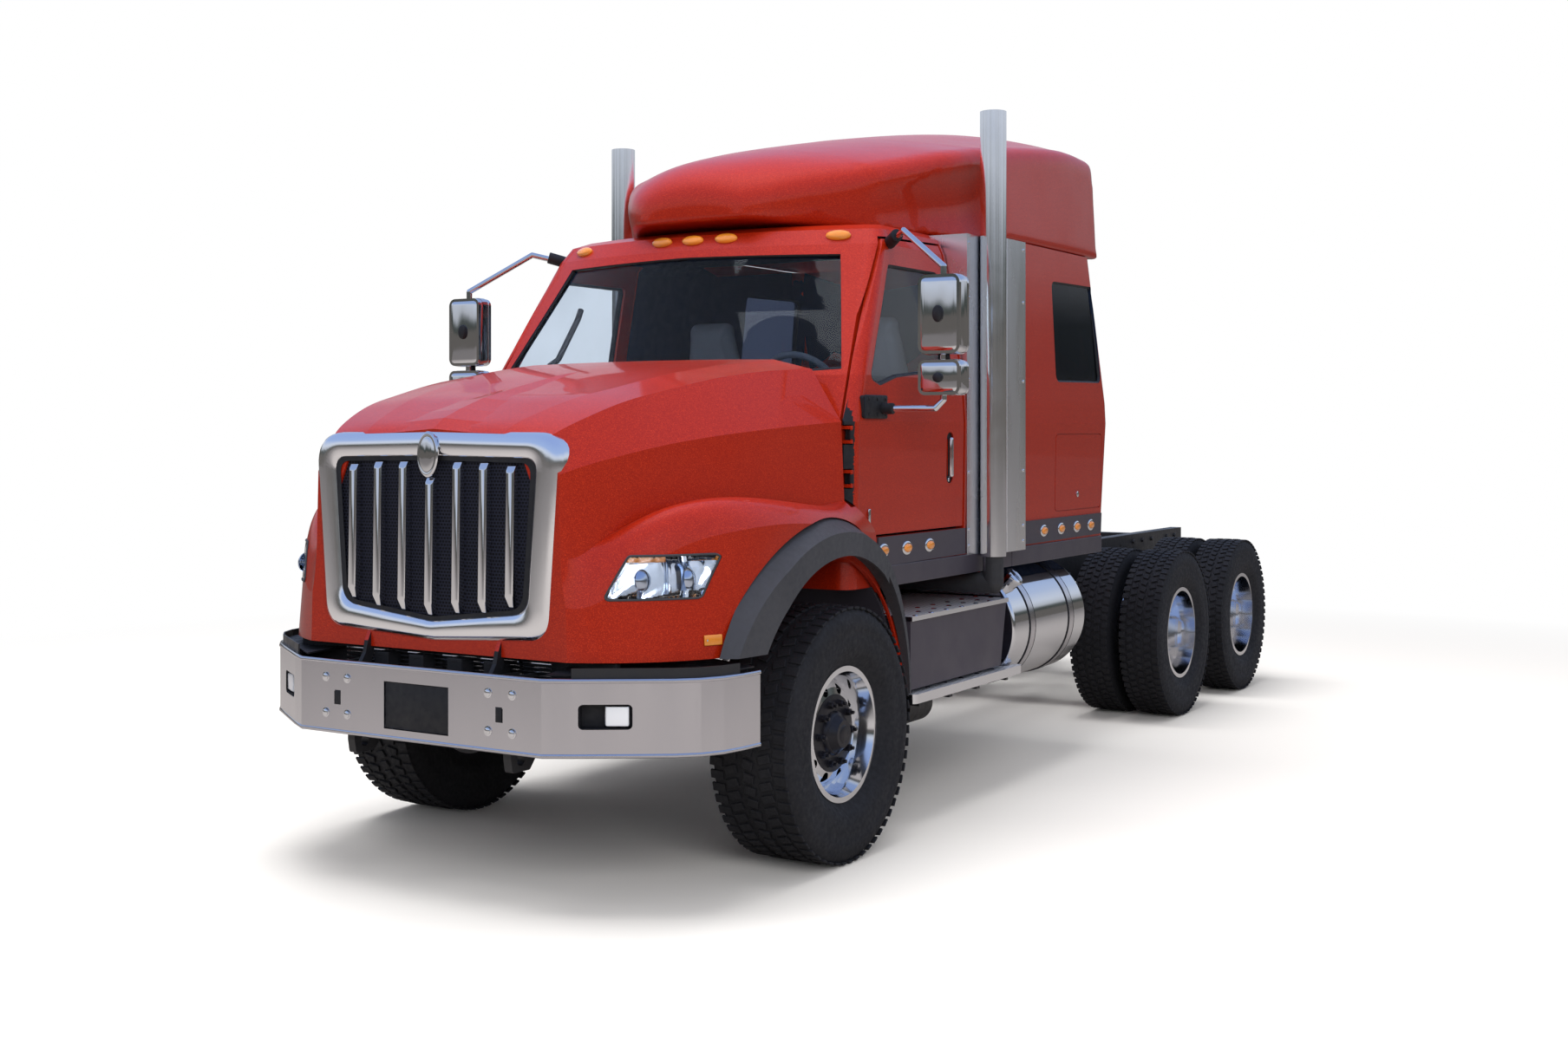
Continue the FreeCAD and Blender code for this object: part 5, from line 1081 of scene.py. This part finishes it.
TREAD_CELLS = {"Scale": 16, "Brick Width": 0.42, "Row Height": 0.9, "Mortar Size": 0.11, "Mortar Smooth": 0.2,
               "Color1": (0.92, 0.92, 0.93, 1), "Color2": (0.88, 0.89, 0.91, 1),
               "Mortar": (0.66, 0.68, 0.74, 1)}
tread_plate, tread_tree, tread_shader = celled("tread_plate", {"Metallic": 0.55}, TREAD_CELLS, 0.004,
                                               invert=True)
linked(tread_tree, (clouded(tread_tree, 14, 0.34, 0.46), "Value", tread_shader, "Roughness"))
dress(["step_treads"], tread_plate)
tinted_faces("step_treads", aluminium, lambda centre, normal: abs(normal.z) < 0.5)
skirts = [block("sill_skirt", at(1.040, 0.500, 1.158), at(1.1145, 2.000, 1.256), 0.004),
          block("sill_skirt", at(1.040, 2.004, 1.158), at(1.1145, 3.330, 1.256), 0.004)]
pair("sill_skirts", skirts, "chassis", panel_dark)
tread_skin = skin_of("step_treads")
bosses = []
for height, along_row, across_row in ((1.2, (0.83, 1.00, 1.17, 1.34, 1.51, 1.68, 1.85), (0.97, 1.06, 1.13)),
                                      (0.8, (0.83, 1.02, 1.21, 1.40, 1.59, 1.78), (1.02, 1.10))):
    for along in along_row:
        for across in across_row:
            spot = tread_skin.ray_cast(at(across, along, height), Vector((0, 0, -1)), 0.45)[0]
            if spot:
                bosses.append(lathe("tread_boss", [(0, 0.001), (0.008, 0.001), (0.011, 0.003), (0.015, 0.0)],
                                    spot, (0, 0, 1), 14))
pair("tread_bosses", bosses, "chassis", aluminium)


# Cab inside: padded seats on their stands, a hood over the dials, grab handles and dark linings.
# Seats stand in for their plain solids; the sleeper's side panes are darker than the rest.

fabric = finish("seat_fabric", (0.20, 0.215, 0.25), 0.0, 0.85, grain=30, bump=0.0008, bump_scale=900,
                shade=0.25, specular=0.2)
SEAT_X = 0.52
SEAT_VOXEL = 0.018
MAX_PUFF = 0.022
CLOTH_STEPS = 20
STUFFING_PRESSURE = 4


def cushion(name, low, high, tilt, soft, narrow=1.0):
    """A rounded block drawn in towards its top, then puffed up as cloth by its inner pressure."""
    piece = block(name, low, high, soft, 3)
    only(piece)
    piece.data.remesh_voxel_size = SEAT_VOXEL
    bpy.ops.object.voxel_remesh()
    foot = Vector(((low[0] + high[0]) / 2, (low[1] + high[1]) / 2, low[2]))
    for vertex in piece.data.vertices:
        rise = max(0, (vertex.co.z - low[2]) / (high[2] - low[2]) - 0.45) / 0.55
        vertex.co.x = foot.x + (vertex.co.x - foot.x) * (1 - (1 - narrow) * rise ** 1.5)
    with editing(piece):
        bpy.ops.transform.rotate(value=math.radians(tilt), orient_axis="X", orient_type="GLOBAL",
                                 center_override=foot)
    rest = [vertex.co.copy() for vertex in piece.data.vertices]
    cloth = piece.modifiers.new("stuffing", "CLOTH")
    cloth.settings.use_pressure = True
    cloth.settings.uniform_pressure_force = STUFFING_PRESSURE
    cloth.settings.effector_weights.gravity = 0
    for moment in range(1, CLOTH_STEPS + 1):
        scene.frame_set(moment)
    only(piece)
    bpy.ops.object.modifier_apply(modifier=cloth.name)
    scene.frame_set(1)
    for vertex, start in zip(piece.data.vertices, rest):
        shift = vertex.co - start
        if shift.length > MAX_PUFF:
            vertex.co = start + shift * MAX_PUFF / shift.length
    applied(piece, "SUBSURF", levels=1)
    bpy.ops.object.shade_smooth()
    return piece


def seat(x):
    """The four cushions of one seat."""
    return [cushion("seat_base", at(x - 0.235, 1.105, 1.565), at(x + 0.235, 1.585, 1.680), 3, 0.045),
            cushion("seat_back", at(x - 0.210, 1.600, 1.665), at(x + 0.210, 1.700, 2.520), -7, 0.045, 0.62),
            cushion("seat_bolster", at(x - 0.240, 1.585, 1.715), at(x - 0.180, 1.710, 2.130), -7, 0.025),
            cushion("seat_bolster", at(x + 0.180, 1.585, 1.715), at(x + 0.240, 1.710, 2.130), -7, 0.025)]


whole_seats = joined("seat_cushions", seat(SEAT_X) + seat(-SEAT_X))
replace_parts(settle(whole_seats, "chassis", fabric), "seats")
stands = [block("seat_stand", at(0.34, 1.16, height), at(0.70, 1.55, height + 0.06), 0.02, 3)
          for height in (1.215, 1.30, 1.385, 1.47)]
stands.append(block("seat_pan", at(0.30, 1.12, 1.535), at(0.74, 1.60, 1.56), 0.008))
pair("seat_stands", stands, "chassis", trim_grey)

route = [at(0.955, 0.640, 2.230), at(0.935, 0.690, 2.265), at(0.885, 0.800, 2.490), at(0.890, 0.830, 2.540)]
handles = [tube("grab_handle", start, end, 0.016, 14) for start, end in zip(route, route[1:])]
pair("grab_handles", handles, "chassis", trim_grey)
hood_over_dials = block("dial_hood", at(0.22, 0.56, 2.05), at(0.70, 0.74, 2.155), 0.03, 4)
settle(hood_over_dials, "chassis", trim_grey)


def cab_inside(centre, normal):
    """The inner side faces, the floor and the ceiling."""
    return (normal.x * centre.x < -0.3 and abs(centre.x) < 1.07 or centre.z < 1.22 and normal.z > 0.5
            or normal.z < -0.3 and centre.z > 2.5)


cab_navy = finish("cab_lining", (0.016, 0.028, 0.066), 0.0, 0.8, grain=20, shade=0.3, specular=0.2)
tinted_faces("cab", cab_navy, cab_inside)
tinted_faces("sleeper", cab_navy, lambda centre, normal: centre.y < AXLE_Y + 3.36 and abs(centre.x) < 1.09
             and centre.z < 2.88 and (normal.x * centre.x < -0.3 or abs(normal.x) < 0.3)
             and (normal.y < 0.3 or centre.y < AXLE_Y + 3.0))
dark_pane = pane("dark_pane", (0.04, 0.05, 0.085), bend=1.3)
tinted_faces("glazing", dark_pane, lambda centre, normal: abs(centre.x) > 1.0 and centre.y > AXLE_Y + 1.4)


# Under and behind: brake chambers, propshafts, spring clamps, rail bolts and tail lamps.
# They are what such a chassis carries, placed on the axles and rails.

CHAMBER = [(0, 0), (0.070, 0), (0.082, 0.012), (0.084, 0.060), (0.092, 0.066), (0.092, 0.078), (0.084, 0.084),
           (0.080, 0.150), (0.066, 0.168), (0, 0.170)]
GEARBOX = [(0, 0), (0.16, 0), (0.19, 0.03), (0.19, 0.30), (0.15, 0.42), (0.12, 0.60), (0.07, 0.66), (0, 0.66)]
springs = []
for along in (-0.075, 0.075):
    for across in (0.338, 0.422):
        springs.append(tube("spring_clamp", at(across, along, 0.430), at(across, along, 0.665), 0.010, 12))
    springs.append(block("clamp_bar", at(0.325, along - 0.012, 0.640), at(0.435, along + 0.012, 0.662),
                         0.003, 1))
for along in (4.622, 5.968):
    springs.append(lathe("brake_chamber", CHAMBER, at(0.505, along + 0.150, 0.700), (0.15, 1, 0.25), 28))
    springs.append(tube("push_rod", at(0.505, along + 0.02, 0.665), at(0.505, along + 0.16, 0.702), 0.012, 12))
pair("axle_fittings", springs, "chassis", cast_dark)
shafts = [tube("propshaft", at(0, 0.25, 0.98), at(0, 4.42, 0.66), 0.050, 28),
          tube("propshaft", at(0, 4.80, 0.62), at(0, 5.78, 0.60), 0.045, 28),
          lathe("gearbox", GEARBOX, at(0, 0.16, 1.00), (0, 1, -0.07), 28)]
for along, height in ((0.92, 0.93), (4.38, 0.662), (4.84, 0.620), (5.74, 0.602)):
    shafts.append(block("joint", at(-0.055, along - 0.05, height - 0.055),
                        at(0.055, along + 0.05, height + 0.055), 0.02, 3))
settle(joined("drive_line", shafts), "chassis", cast_dark)
RAIL_BOLT = [(0, 0), (0.017, 0), (0.017, 0.010), (0.014, 0.013), (0, 0.013)]
heads = [lathe("rail_bolt", RAIL_BOLT, at(0.430, along, height), (1, 0, 0), 6, 20)
         for along in (3.62, 3.80, 4.10, 4.30, 4.50, 5.75, 5.95, 6.15, 6.50, 6.68) for height in (0.905, 1.065)]
pair("rail_bolts", heads, "chassis", frame_black)
tail_red = finish("tail_red", (0.42, 0.010, 0.010), 0.0, 0.2, grain=40, shade=0.3, coat=1.0)
tail = at(0.30, 6.7352, 0.985)
pair("tail_lamps", [lathe("tail_lamp", [(0, 0.016), (0.040, 0.014), (0.052, 0.006), (0.052, 0), (0, 0)],
                          tail, (0, 1, 0), 32)], "chassis", tail_red)
pair("tail_rings", [lathe("tail_ring", [(0.052, 0), (0.062, 0), (0.062, 0.010), (0.052, 0.010)],
                          tail, (0, 1, 0), 32)], "chassis", matt_black)
